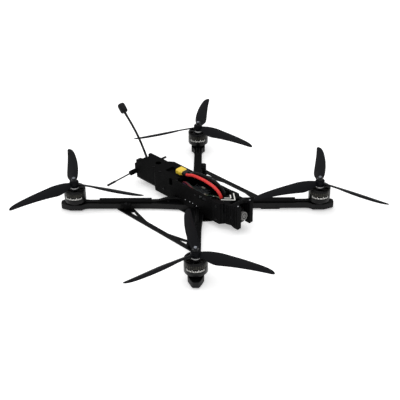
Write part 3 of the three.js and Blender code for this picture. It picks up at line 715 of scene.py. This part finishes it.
def add_battery_lead():
    (x, y, z), w, h, l = PLUG_AT, PLUG_WIDE, PLUG_TALL, PLUG_LONG

    def section(at_y, inset):
        a, b, c = w / 2 - inset, h - inset, 2.0
        return [
            (x + a, at_y, z + inset), (x + a, at_y, z + b - c), (x + a - c, at_y, z + b),
            (x - a + c, at_y, z + b), (x - a, at_y, z + b - c), (x - a, at_y, z + inset),
        ]

    bm = bmesh.new()
    loft(bm, [
        section(y, 0.7), section(y + 2.2, 0.7), section(y + 2.6, 0.0), section(y + 8.2, 0.0),
        section(y + 8.5, 0.35), section(y + 9.3, 0.35), section(y + 9.6, 0.0), section(y + l, 0.0),
        section(y + l, 1.2), section(y + l - 6, 1.2),
    ])
    for side in (-1, 1):
        for k in range(3):
            at = y + 3.6 + 1.5 * k
            block(bm, x + side * w / 2 - 0.3, x + side * w / 2 + 0.25, at, at + 0.7, z + 1.2, z + 4.8)
    plug = put("battery_plug", bm, PLUG,
               ["battery_connector"], bevel=0.22)
    bm = bmesh.new()
    facing = Matrix.Rotation(-math.pi / 2, 4, "X")
    for side in (-1, 1):
        at = Matrix.Translation((x + side * CONTACT_OUT, y + l - 5.9, z + h / 2)) @ facing
        lathe(bm, [(2.4, -0.6), (2.4, 4.4), (2.1, 4.9), (1.5, 4.9), (1.5, 1.0)], 28, at)
    contacts = put("plug_contacts", bm, GOLD)

    bm = bmesh.new()
    back = y - 0.3

    def sleeve(at_y, a, b, lift):
        return [(px, at_y, pz) for px, pz, _ in
                rounded_ring(a, b, min(a, b) * 0.72, 0, 5, (x, z + lift))]

    loft(bm, [
        sleeve(back, 6.9, 3.5, 4.0), sleeve(back - 0.7, 7.2, 3.75, 4.0),
        sleeve(back - 4.4, 7.1, 3.7, 4.0), sleeve(back - 6.4, 6.9, 3.4, 4.0),
        sleeve(back - 7.7, 6.6, 3.1, 4.0), sleeve(back - 8.0, 6.2, 2.8, 4.0),
    ])
    boot = put("plug_boot", bm, BOOT, ["connector_boot"])

    for name, route, material, slot, node in (
        ("lead_red", RED_ROUTE, RED, "wire_red", "battery_lead_red"),
        ("lead_black", BLACK_ROUTE, BLACK, "wire_black", "battery_lead_black"),
    ):
        made, length = lead(name, route, material, node)


add_battery_lead()


# ---------- carbon plates, housings

def add_frame():
    refined("bottom_plate", "plate_bottom", CARBON, 0.3)
    refined("main_plate", "plate_main", CARBON, 0.3)
    for side in ("starboard", "port"):
        refined(f"brace_{side}", f"side_brace_{side}", CARBON, 0.35)
    refined("body_shell", "printed_body", PRINTED, 0.4, 3)
    refined("rear_housing", "printed_rear", PRINTED, 0.4, 3)
    refined("nose_cover", "nose_housing", PRINTED_NOSE, 0.35)
    refined("antenna_mount", "printed_antenna_mount", PRINTED, 0.5)


DECK_SCREWS = [(x, y) for y in (-54, 30, 74) for x in (-19.5, 19.5)]
REAR_SCREWS = [(-14, 96), (14, 96), (-14.6, 134), (14.6, 134)]
UNDER_SCREWS = [(23, -30), (23, 30), (9, -44), (9, 44), (8, 0), (23, 0)]
SIDE_SCREWS = [(-70, 19), (-70, 43), (-20, 45), (60, 24)]
SIDE_STUDS = [(4.3, 25.1), (-6.4, 25.4), (-13.6, 25.5), (-23.0, 23.9)]
NOSE_STUD = (14.3, -111.5, 57)


def add_frame_screws():
    bm = bmesh.new()
    for x, y in DECK_SCREWS:
        screw(bm, (x, y, BODY_TOP), 2.2, 1.3)
    for x, y in REAR_SCREWS:
        screw(bm, (x, y, REAR_TOP), 1.9, 1.1)
    for x, y in UNDER_SCREWS:
        for side in (-1, 1):
            screw(bm, (side * x, y, 0), 2.8, axis="-Z", flush=True)
    for side, axis in ((-1, "-X"), (1, "+X")):
        for y, z in SIDE_SCREWS:
            screw(bm, (side * BODY_HALF, y, z), 1.9, 0.9, axis)
    put("housing_screws", bm, BLACK_SCREW)
    bm = bmesh.new()
    x, y, z = NOSE_STUD
    for side in (-1, 1):
        screw(bm, (side * x, y, z), 1.35, 0.7)
    for y, z in SIDE_STUDS:
        screw(bm, (-BODY_HALF, y, z), 0.9, 0.4, "-X")
    put("pale_screws", bm, PALE_SCREW)


CHEVRONS = [
    [(-12.5, -70.6), (2.6, -88.6), (17.7, -70.6)],
    [(-4.6, -70.4), (2.6, -79.0), (9.8, -70.4)],
]


def add_marks():
    """Two plain pale chevrons that lie on the nose cover's rising top."""
    def top(y):
        return 51.4 + 1.2 * (-62.3 - y) / 30.7

    bm = bmesh.new()
    half, steps = 0.95, 8
    for points in CHEVRONS:
        for start, end in zip(points, points[1:]):
            start, end = Vector(start), Vector(end)
            along = (end - start).normalized()
            aside = Vector((-along.y, along.x)) * half
            rings = []
            for k in range(steps + 1):
                at = start.lerp(end, k / steps)
                a, b, z = at + aside, at - aside, top(at.y)
                rings.append([(*a, z - 0.15), (*b, z - 0.15), (*b, z + 0.16), (*a, z + 0.16)])
            loft(bm, rings)
    put("nose_chevrons", bm, MARK)


add_frame()
add_frame_screws()
add_marks()


# ---------- arms

def arm_place(heading):
    return Matrix.Rotation(math.radians(heading), 4, "Z")


def motor_wires():
    """Three wires from the body, over the arm, under its cover and into the motor's base."""
    bm = bmesh.new()
    for k, side in enumerate((-1, 0, 1)):
        spread = [1.25, 1.1, 1.35, 1.2, 1.05, 1.0][k:] + [1.0] * 12
        route = [
            (27, 19.4), (36, 20.0 + 0.5 * side), (45, 20.5 + 0.9 * (side == 0)), (55, 19.6),
            (63, 17.3), (70, 15.2), (77, 14.5), (84, 14.4), (120, 14.4), (172, 14.4),
            (186, 14.35), (194, 14.3), (200.6, 14.3),
        ]
        points = [(x, side * 2.25 * spread[i], z) for i, (x, z) in enumerate(route)]
        tube(bm, smooth_path(points, 64), 0.98, 10)
    return to_mesh("motor_wires", bm)


def arm_screws(lug):
    """The cover's, lug's, arm root's and motor's screws, along an arm that points to +X."""
    bm = bmesh.new()
    cover, root, motor_circle = (87, 165), 50, 9.5
    for x in cover:
        screw(bm, (x, 0, COVER_TOP), 1.9, 1.1)
    screw(bm, (LUG_AT, lug * LUG_OUT, ARM_TOP + 2.1), 3.0, 1.8)
    screw(bm, (LUG_AT, lug * LUG_OUT, 0), 2.8, axis="-Z", flush=True)
    screw(bm, (root, 0, ARM_TOP), 2.5, 1.5)
    for a in (math.radians(45 + 90 * k) for k in range(4)):
        at = (MOTOR_REACH + motor_circle * math.cos(a), motor_circle * math.sin(a), ARM_Z)
        screw(bm, at, 2.3, 1.5, "-Z")
    return to_mesh("arm_screws", bm)


def add_arms():
    wires = motor_wires()
    screws = {lug: arm_screws(lug) for lug in (-1, 1)}
    for name, heading, _, _, lug in CORNERS:
        place = arm_place(heading)
        refined(f"arm_{name}", f"carbon_arm_{name}", CARBON, 0.55, 3)
        refined(f"arm_cover_{name}", f"wire_cover_{name}", PRINTED_ARM, 0.5, 3)
        put(f"motor_wires_{name}", wires, BLACK, [f"motor_leads_{name}"], matrix=place)
        put(f"arm_screws_{name}", screws[lug], BLACK_SCREW, matrix=place)


add_arms()


# ---------- motors

def stator_meshes():
    base = bmesh.new()
    lathe(base, [
        (2.8, 13.5), (12.2, 13.5), (12.6, 13.9), (12.6, 14.7), (12.2, 15.0), (6.0, 15.0),
        (5.2, 15.8), (4.6, 37.6), (4.2, 38.0), (2.8, 38.0),
    ], 56, closed=True)
    core = bmesh.new()
    steps = 120

    def solid(row, step):
        off = min(step % 10, 10 - step % 10) if step % 10 else 0
        return row == 0 or (row == 1 and off <= 1) or (row == 2 and off <= 3)

    polar_plate(core, [5.0, 8.0, 14.4, 15.8], steps, 23.3, 34.2, solid)
    coils = bmesh.new()
    for k in range(12):
        turn = Matrix.Rotation(TAU * (k + 1 / 24) / 12, 4, "Z")
        rings = []
        for x, inset in ((8.6, 0.5), (9.0, 0.0), (13.4, 0.0), (13.9, 0.5)):
            half = 1.2 + 0.14 * x - inset
            ring = [(x, py, pz) for py, pz, _ in
                    rounded_ring(half, 7.1 - inset, min(half, 1.6) * 0.9, 0, 3, (0, 28.75))]
            rings.append(ring)
        loft(coils, rings, turn)
    return to_mesh("motor_base", base), to_mesh("stator_core", core), to_mesh("stator_coils", coils)


def bell_cap():
    """The spoked top, its rounded rim and the smooth lower band."""
    bm = bmesh.new()
    steps = 144

    def solid(row, step):
        return row != 2 or 8 <= step % 24 <= 16

    roof = BELL_TOP - 3.1
    polar_plate(bm, [2.4, 6.0, 9.5, 16.0, 17.6], steps, roof, BELL_TOP - 0.1, solid)
    lathe(bm, [
        (17.2, 38.5), (18.6, 38.5), (BELL_R, 38.9), (BELL_R, 40.7), (18.6, 41.6), (17.8, BELL_TOP),
        (17.2, BELL_TOP),
    ], 96, closed=True)
    lathe(bm, [(2.4, 38.3), (5.6, 38.3), (5.6, 39.1), (2.4, 39.1)], 48, closed=True)
    lathe(bm, [
        (17.2, BELL_Z), (18.0, BELL_Z), (18.8, 18.9), (BELL_R, 19.4), (BELL_R, 30.9), (18.7, 31.4),
        (17.2, 31.4),
    ], 96, closed=True)
    return bm


def flux_band():
    bm = bmesh.new()
    lathe(bm, [
        (16.8, 18.7), (17.3, 18.7), (17.3, 31.5), (18.6, 31.5), (18.85, 31.8), (18.85, 38.1),
        (18.6, 38.4), (16.8, 38.4),
    ], 144, closed=True)
    return bm


BAR_HEADING = 226  # degrees from +X, the middle of the row of bars
BARS = [  # start and width in degrees from the middle, height in millimetres
    (-48, 3, 4.0), (-42, 4, 2.4), (-34, 3, 2.6), (-28, 5, 2.0), (-19, 3, 3.9), (-13, 6, 2.1),
    (-3, 3, 2.8), (3, 6, 2.1), (12, 3, 4.2), (18, 5, 2.2), (26, 3, 2.6), (32, 5, 2.0),
    (40, 3, 3.6),
]


def bell_bars():
    """Plain pale bars of mixed width on one side of the lower band."""
    bm = bmesh.new()
    low, inner, outer = 27.2, 18.9, 19.07
    for start, width, tall in BARS:
        count = max(2, width // 2)
        rings = []
        for k in range(count + 1):
            a = math.radians(BAR_HEADING + start + width * k / count)
            rings.append([
                (r * math.cos(a), r * math.sin(a), z)
                for r, z in ((inner, low), (outer, low), (outer, low + tall), (inner, low + tall))
            ])
        loft(bm, rings)
    return bm


def motor_shaft():
    bm = bmesh.new()
    profile = [(1.9, 14.1), (2.4, 14.6), (2.4, HUB_TOP - 0.8)]
    z = HUB_TOP - 0.8
    while z < SHAFT_TOP - 1.2:
        profile += [(2.38, z + 0.1), (2.08, z + 0.4), (2.08, z + 0.45), (2.38, z + 0.75)]
        z += 0.8
    profile += [(2.3, SHAFT_TOP - 0.4), (1.9, SHAFT_TOP)]
    lathe(bm, profile, 28)
    return bm


def bell_meshes():
    bright = bmesh.new()
    ring = [(5.0, 42.0), (6.9, 42.0), (6.9, 42.5), (6.2, 44.0), (5.0, 44.0)]
    lathe(bright, ring, 72, closed=True)
    return {
        "motor_cap": (to_mesh("motor_cap", bell_cap()), ANODISED, "anodised_black", 0.18),
        "flux_ring": (to_mesh("flux_ring", flux_band()), FLUX, "anodised_black", 0.0),
        "bright_ring": (to_mesh("bright_ring", bright), BRIGHT, "nut_steel", 0.0),
        "bell_bars": (to_mesh("bell_bars", bell_bars()), MARK, "cap_grey", 0.0),
        "shaft": (to_mesh("shaft", motor_shaft()), SHAFT, "nut_steel", 0.0),
    }


LEADING = [
    (6, 4.5), (18, 8), (32, 10), (52, 11.3), (76, 11.6), (98, 10.4), (112, 8.8), (122, 6.4),
    (127.5, 3.6), (130, 0.6),
]
TRAILING = [
    (6, -3.5), (18, -6.4), (32, -9.4), (44, -9.5), (60, -8), (80, -6), (100, -4.3), (118, -3.2),
    (127.5, -2.6), (130, -1.4),
]
BLADE_TIP, BLADE_PITCH, BLADE_STEEPEST, BLADE_Z = 130.0, 127.0, math.radians(27), 50.3


def propeller_mesh(turn):
    bm = bmesh.new()
    rings_along, around = 46, 24
    for k in range(3):
        heading = Matrix.Rotation(TAU * k / 3, 4, "Z")
        rings = []
        for i in range(rings_along + 1):
            along = i / rings_along
            r = 5 + (BLADE_TIP - 5.05) * (1 - (1 - along) ** 1.35)
            span = 1 - ((BLADE_TIP - r) / (BLADE_TIP - 5)) ** 0.8
            lead_edge, trail_edge = interpolate(LEADING, max(r, 6)), interpolate(TRAILING, max(r, 6))
            pitch = min(math.atan(BLADE_PITCH / (TAU * r)), BLADE_STEEPEST)
            thick = 1.7 - 1.25 * span
            half = (lead_edge - trail_edge) / 2
            ring = []
            for j in range(around):
                a = TAU * j / around
                chordwise = (lead_edge + trail_edge) / 2 + math.cos(a) * half
                body = math.sin(a) * thick * (0.82 + 0.3 * math.cos(a) - 0.12 * math.cos(2 * a))
                camber = 0.06 * 2 * half * math.sin(a) ** 2
                rise = (chordwise - 1) * math.tan(pitch) + camber
                height = BLADE_Z + rise + body
                ring.append((r, turn * chordwise, height))
            rings.append(ring)
        loft(bm, rings, heading)
    hub = [
        (2.7, 0.0), (7.4, 0.0), (8.0, 0.6), (8.0, 9.0), (7.7, 10.0), (7.1, 10.5), (6.4, 10.5),
        (6.1, 10.1), (5.4, 10.1), (5.2, 10.8), (2.7, 10.8),
    ]
    lathe(bm, hub, 64, Matrix.Translation((0, 0, HUB_Z)), closed=True)
    for k in range(3):
        rib = Matrix.Rotation(TAU * (k + 0.5) / 3, 4, "Z")
        block(bm, 6.2, 8.3, -0.9, 0.9, HUB_Z + 1.0, HUB_TOP - 2.0, rib)
    return to_mesh("propeller", bm)


def nut_mesh():
    bm = bmesh.new()
    sides, flat = 48, 4.0
    loft(bm, [
        circle(2.7, 0.0, sides), circle(5.0, 0.0, sides), circle(5.4, 0.25, sides),
        circle(5.4, 0.7, sides), circle(5.0, 1.1, sides), hexagon(flat, 1.25, sides, 4.6),
        hexagon(flat, 3.6, sides, 4.6), hexagon(flat, 4.05, sides, 4.15), circle(3.85, 4.1, sides),
        circle(3.8, 5.2, sides), circle(3.4, 5.6, sides), circle(2.7, 5.6, sides),
    ], Matrix.Translation((0, 0, NUT_Z)), closed=True)
    return to_mesh("lock_nut", bm)


def add_motors():
    base, core, coils = stator_meshes()
    bell = bell_meshes()
    propellers = {turn: propeller_mesh(turn) for turn in (-1, 1)}
    nut = nut_mesh()
    for name, heading, turn, blade, _ in CORNERS:
        body = f"rotor_{name}"
        arm = arm_place(heading)
        post = arm @ Matrix.Translation((MOTOR_REACH * MM, 0, 0))
        put(f"stator_base_{name}", base, ANODISED, matrix=post)
        put(f"stator_core_{name}", core, LAMINATION, matrix=post)
        put(f"stator_coils_{name}", coils, COPPER, [f"motor_stator_{name}"],
            matrix=post)
        axis = Matrix.Translation(post.translation)
        spot = axis @ Matrix.Rotation(math.radians(blade), 4, "Z")
        for part, (mesh, material, slot, bevel) in bell.items():
            nodes = [f"motor_bell_{name}"] if part == "motor_cap" else ()
            where = axis if part == "bell_bars" else spot
            put(f"{part}_{name}", mesh, material, nodes, body, where, bevel)
        put(f"blades_{name}", propellers[turn], NYLON, [f"propeller_{name}"],
            body, spot, smooth=50)
        put(f"lock_nut_{name}", nut, STEEL, [f"prop_nut_{name}"], body, spot)


add_motors()


# ---------- camera of the drone

def add_nose_camera():
    body = "camera"
    pivot = Matrix.Translation((0, TILT_Y, TILT_Z)) @ Matrix.Rotation(-TILT_REST, 4, "X")
    forward = pivot @ Matrix.Rotation(math.pi / 2, 4, "X")

    bm = bmesh.new()
    insets = (
        (-7, 0.6), (-6.4, 0.0), (1.6, 0.0), (1.8, 0.3), (2.1, 0.3), (2.3, 0.0), (6.4, 0.0), (7, 0.6),
    )
    loft(bm, [rounded_ring(9.5 - i, 9.5 - i, 1.6, z) for z, i in insets], forward)
    lathe(bm, [(8.0, 6.6), (8.4, 6.9), (8.4, 7.8), (8.1, 8.0), (6.6, 8.0)], 48, forward)
    for x in (-7.4, 7.4):
        for y in (-7.4, 7.4):
            screw(bm, (x, y, 7.0), 1.0, 0.4, matrix=forward)
    put("camera_case", bm, CASE, ["camera_body"], body)

    bm = bmesh.new()
    lathe(bm, [
        (6.0, 8.2), (6.2, 8.4), (6.2, 9.2), (5.8, 9.4), (6.2, 9.6), (6.2, 12.4), (6.0, 12.8),
        (5.0, 12.8), (4.6, 12.4), (3.6, 12.9), (2.0, 13.3), (0.6, 13.4),
    ], 56, forward)
    put("lens_barrel", bm, GLASS, ["camera_lens"], body)

    bm = bmesh.new()
    sides = 72

    def grip(radius, z, depth=0.0):
        return [
            ((radius - depth * (i % 4 < 2)) * math.cos(TAU * i / sides),
             (radius - depth * (i % 4 < 2)) * math.sin(TAU * i / sides), z)
            for i in range(sides)
        ]

    loft(bm, [
        grip(6.6, 10.2), grip(7.3, 10.2), grip(7.5, 10.4, 0.12), grip(7.5, 14.5, 0.12),
        grip(7.3, 14.9), grip(6.9, 15.4), grip(6.2, 15.5), grip(5.7, 15.5), grip(5.4, 15.0),
        grip(0.4, 15.0), grip(0.4, 13.6), grip(6.5, 13.6),
    ], forward, closed=True)
    put("lens_cap_grey", bm, CAP, ["lens_cap"], body)
    # painted shade: a dark ring on the cap's recessed face inside its rim, and a dot at its middle
    bm = bmesh.new()
    lathe(bm, [(3.2, 14.95), (5.0, 14.95), (5.0, 15.1), (3.2, 15.1)], 48, forward, closed=True)
    lathe(bm, [(0.9, 14.9), (0.9, 15.12), (0.7, 15.2)], 24, forward)
    put("cap_rings", bm, CAP_RING, (), body)

    for side, sign in (("starboard", -1), ("port", 1)):
        turned = pivot @ Matrix.Rotation(sign * math.pi / 2, 4, "Y")
        bm = bmesh.new()
        lathe(bm, [(1.1, 9.8), (1.1, 16.2)], 20, turned)
        screw(bm, (0, 0, 16.2), 2.3, 1.5, matrix=turned)
        put(f"tilt_screw_{side}", bm, BLACK_SCREW, [f"camera_screw_{side}"], body)


add_nose_camera()


# ---------- electronics

STACK_HOLES = [(x, y) for x in (-STACK_HOLE, STACK_HOLE) for y in (-STACK_HOLE, STACK_HOLE)]


def add_board(name, node, x, y, z0, z1, chips, seed):
    """A board with its mounting holes' pads, chips, small parts and plugs along two edges."""
    rng = random.Random(seed)
    bm = bmesh.new()
    thick = 1.6
    face = (z0 + z1 + thick) / 2
    loft(bm, [rounded_ring(x, y, 3.2, z) for z in (face - thick, face)])
    put(name, bm, BOARD, [node], bevel=0.12)
    chip, pad, plug = bmesh.new(), bmesh.new(), bmesh.new()
    for cx, cy, hx, hy, tall in chips:
        block(chip, cx - hx, cx + hx, cy - hy, cy + hy, face - 0.05, face + tall)
        for i in range(int(hx * 2 / 0.8)):
            px = cx - hx + 0.5 + i * 0.8
            for side in (-1, 1):
                block(pad, px - 0.15, px + 0.15, cy + side * hy - 0.35, cy + side * hy + 0.35,
                      face - 0.02, face + 0.12)
    for _ in range(46):
        cx, cy = rng.uniform(2 - x, x - 2), rng.uniform(2 - y, y - 2)
        if any(abs(cx - c[0]) < c[2] + 1 and abs(cy - c[1]) < c[3] + 1 for c in chips):
            continue
        if abs(abs(cx) - STACK_HOLE) < 3.6 and abs(abs(cy) - STACK_HOLE) < 3.6:
            continue
        hx, hy = rng.choice([(0.5, 0.3), (0.3, 0.5), (0.8, 0.5)])
        block(chip, cx - hx, cx + hx, cy - hy, cy + hy, face - 0.05, face + 0.45)
        block(pad, cx - hx - 0.2, cx - hx + 0.1, cy - hy, cy + hy, face - 0.05, face + 0.4)
        block(pad, cx + hx - 0.1, cx + hx + 0.2, cy - hy, cy + hy, face - 0.05, face + 0.4)
    for at in STACK_HOLES:
        lathe(pad, [(2.0, face - 0.05), (3.0, face - 0.05), (3.0, face + 0.1), (2.0, face + 0.1)],
              24, closed=True, at=at)
    for side in (-1, 1):
        block(plug, -4, 4, side * (y - 1.9) - 1.6, side * (y - 1.9) + 1.6, face - 0.05, face + 1.35)
        block(plug, side * (x - 1.9) - 1.6, side * (x - 1.9) + 1.6, -3, 5, face - 0.05, face + 1.35)
    put(f"{name}_chips", chip, CHIP, bevel=0.08)
    put(f"{name}_pads", pad, SOLDER)
    put(f"{name}_plugs", plug, CONNECTOR, bevel=0.15)


def add_wire(name, route, radius, material, count, sides=8):
    bm = bmesh.new()
    tube(bm, smooth_path(route, count), radius, sides)
    put(name, bm, material)


def add_electronics():
    # each chip: centre x, centre y, half width, half length, height
    fets = [(x, y, 2.2, 2.4, 0.9) for x in (-17.5, 17.5) for y in (-3.2, -8.6, 3.2, 8.6)]
    chips = [
        (-3, 2, 5, 5, 1.0), (8, -7, 2.5, 3.4, 0.8), (9, 7, 2, 2.4, 0.8), (-10, -8, 2, 3, 0.8),
    ]
    add_board("speed_controller", "esc_board", 21, 20, 21, 25, fets + [(0, 8, 3, 3, 0.8)], 11)
    add_board("flight_board", "flight_controller", 18.5, 18.5, 30, 33.5, chips, 5)
    refined("stack_mount", "stack_frame", CASE, 0.2)
    bm = bmesh.new()
    for at in STACK_HOLES:
        screw(bm, (*at, 33.6), 2.7, 2.2)
        lathe(bm, [(2.6, 25.1), (2.6, 29.8)], 24, at=at)
    put("stack_screws", bm, STEEL)

    can = Matrix.Translation((-10, -25, 30)) @ Matrix.Rotation(math.pi / 2, 4, "X")
    bm = bmesh.new()
    lathe(bm, [(5.2, 0.0), (5.8, 0.3), (6.0, 0.9), (6.0, 1.6), (5.6, 2.2), (5.6, 2.7), (6.0, 3.3),
               (6.0, 23.0), (5.7, 23.7), (5.1, 23.95)], 48, can)
    put("capacitor_can", bm, SLEEVE, ["capacitor"])
    bm = bmesh.new()
    lathe(bm, [(4.9, 23.6), (4.9, 24.0), (4.6, 24.0)], 48, can)
    put("capacitor_top", bm, SOLDER)

    for k, (x, lift, bend) in enumerate(((-3, 0, 2), (-1.2, 1, -1), (0.8, 0.4, 1.5), (2.6, 1.4, -2))):
        route = [(x, 17.5, 34.2), (x, 20.5, 35.4), (x + bend, 27, 36 + lift), (x - bend, 36, 33 + lift),
                 (x, 44, 27), (x * 1.4, 49, 22.5)]
        add_wire(f"signal_wire_{k}", route, 0.55, WIRES[k], 40)
    for k, x in enumerate((-6, -4.4, -2.8)):
        route = [(x, -17.5, 34), (x, -21, 36), (x + 9, -34, 38 - k), (x + 13, -50, 36),
                 (x + 8, -66, 33), (4 - k * 1.6, -78, 30.5), (3 - k * 1.6, -83.4, 29.6)]
        add_wire(f"camera_wire_{k}", route, 0.5, WIRES[(k + 1) % 4], 56)
    bm = bmesh.new()
    block(bm, -1.2, 4.0, -85.2, -82.4, 28.6, 30.6)
    put("camera_plug", bm, CONNECTOR, bevel=0.2)
    for k, (x, z, material) in enumerate(BAY_WIRES):
        route = [(x + 7, 37, z - 13), (x + 6, 31, z - 6), (x + 3, 22, z - 1), (x, 12, z),
                 (x - 1, 0, z - 3), (x + 1, -9, z - 9)]
        add_wire(f"bay_wire_{k}", route, 1.3, material, 48, 12)

    bm = bmesh.new()
    low, high = (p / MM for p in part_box("receiver"))
    block(bm, low.x, high.x, low.y, high.y, low.z, low.z + 1.6)
    block(bm, low.x + 3, high.x - 3, low.y + 4, high.y - 8, low.z + 1.5, high.z - 0.6)
    put("receiver_board", bm, BOARD, ["receiver"], bevel=0.15)
    bm = bmesh.new()
    low, high = (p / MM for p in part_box("video_transmitter"))
    block(bm, low.x, high.x, low.y, high.y, low.z, low.z + 7)
    for k in range(9):
        y = low.y + 1.5 + k * 3.6
        block(bm, low.x + 0.4, high.x - 0.4, y, y + 1.5, low.z + 6.9, high.z)
    put("transmitter_case", bm, ANODISED,
        ["video_transmitter"], bevel=0.2)


add_electronics()


# ---------- antennas

def add_antennas():
    stem = [(2, 129.5, 40), (2, 134.7, 51.9), (2, 152.8, 82.2), (2, 168.3, 100.7), (2, 188.2, 120.5)]
    path = smooth_path(stem, 60)
    radii = [2.1 + 0.15 * max(0.0, 1 - i / 9) + 0.3 * max(0.0, (i - 53) / 6) for i in range(60)]
    bm = bmesh.new()
    tube(bm, path, radii, 16)
    put("antenna_tube", bm, ANTENNA, ["antenna_stem"])

    along = (Vector((2, 195.8, 129.4)) - Vector(stem[-1])).normalized()
    tilt = Matrix.Translation(stem[-1]) @ along.to_track_quat("Z", "Y").to_matrix().to_4x4()
    bm = bmesh.new()
    lathe(bm, [
        (2.6, 0.3), (4.6, 0.5), (6.2, 1.6), (6.9, 3.2), (7.0, 5.0), (6.75, 5.3), (6.75, 5.7),
        (7.0, 6.0), (7.0, 14.6), (6.8, 15.8), (6.2, 17.4), (5.0, 18.6), (3.0, 19.2), (0.5, 19.3),
    ], 48, tilt)
    put("antenna_cap", bm, ANTENNA, ["antenna_head"])

    for side, start, end in (
        ("starboard", (-29.8, 144.9, 23.5), (-83.4, 144.9, 20.3)),
        ("port", (29.8, 145.2, 23.4), (68.4, 155, 15.4)),
    ):
        a, b = Vector(start), Vector(end)
        length = (b - a).length
        stops = [(0.0, 1.3), (length - 19, 1.3), (length - 18.4, 1.75), (length - 17.8, 2.0),
                 (length - 0.8, 2.0), (length - 0.2, 1.75), (length, 1.1)]
        bm = bmesh.new()
        tube(bm, [a.lerp(b, s / length) for s, _ in stops], [r for _, r in stops], 16)
        put(f"whip_{side}", bm, ANTENNA,
            [f"receiver_antenna_{side}"])


add_antennas()


# ---------- floor and light

FLOOR_HALF, FLOOR_GLOW, WORLD_LIGHT = 9, 0.42, 0.36
LIGHTS = [  # name, place, aim, size in metres, power in watts
    ("overhead", (0.1, 0.2, 2.3), (0.1, 0.2, 0), 4.2, 64),
    ("rear_left", (-1.6, 1.3, 1.3), (0, 0, 0.02), 1.0, 8),
]


def add_stage():
    """A pale floor that glows a little, so that shadows stay faint, under one wide softbox."""
    s = Shader("floor_paper", (0.93, 0.93, 0.93), 0.9, specular=0.1)
    shade = s.blend(s.noise(6, 3), (0.915, 0.915, 0.915), (0.94, 0.94, 0.94))
    s.set(color=shade, normal=s.bump(s.noise(500, 2), 0.02, 0.15))
    s.bsdf.inputs["Emission Color"].default_value = (1, 1, 1, 1)
    s.bsdf.inputs["Emission Strength"].default_value = FLOOR_GLOW
    bm = bmesh.new()
    bmesh.ops.create_grid(bm, x_segments=1, y_segments=1, size=FLOOR_HALF)
    mesh = bpy.data.meshes.new("floor")
    bm.to_mesh(mesh)
    bm.free()
    mesh.materials.append(s.material)
    floor = bpy.data.objects.new("floor", mesh)
    floor.location.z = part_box("bottom_plate")[0].z
    bpy.context.scene.collection.objects.link(floor)

    world = bpy.data.worlds.new("studio")
    world.use_nodes = True
    world.node_tree.nodes["Background"].inputs[0].default_value = (1, 1, 1, 1)
    world.node_tree.nodes["Background"].inputs[1].default_value = WORLD_LIGHT
    bpy.context.scene.world = world

    for name, at, aim, size, power in LIGHTS:
        data = bpy.data.lights.new(name, "AREA")
        data.shape = "SQUARE"
        data.size = size
        data.energy = power
        made = bpy.data.objects.new(name, data)
        made.location = at
        made.rotation_mode = "QUATERNION"
        made.rotation_quaternion = (Vector(aim) - Vector(at)).to_track_quat("-Z", "Y")
        bpy.context.scene.collection.objects.link(made)
    bpy.context.scene.view_settings.view_transform = "Standard"


add_stage()
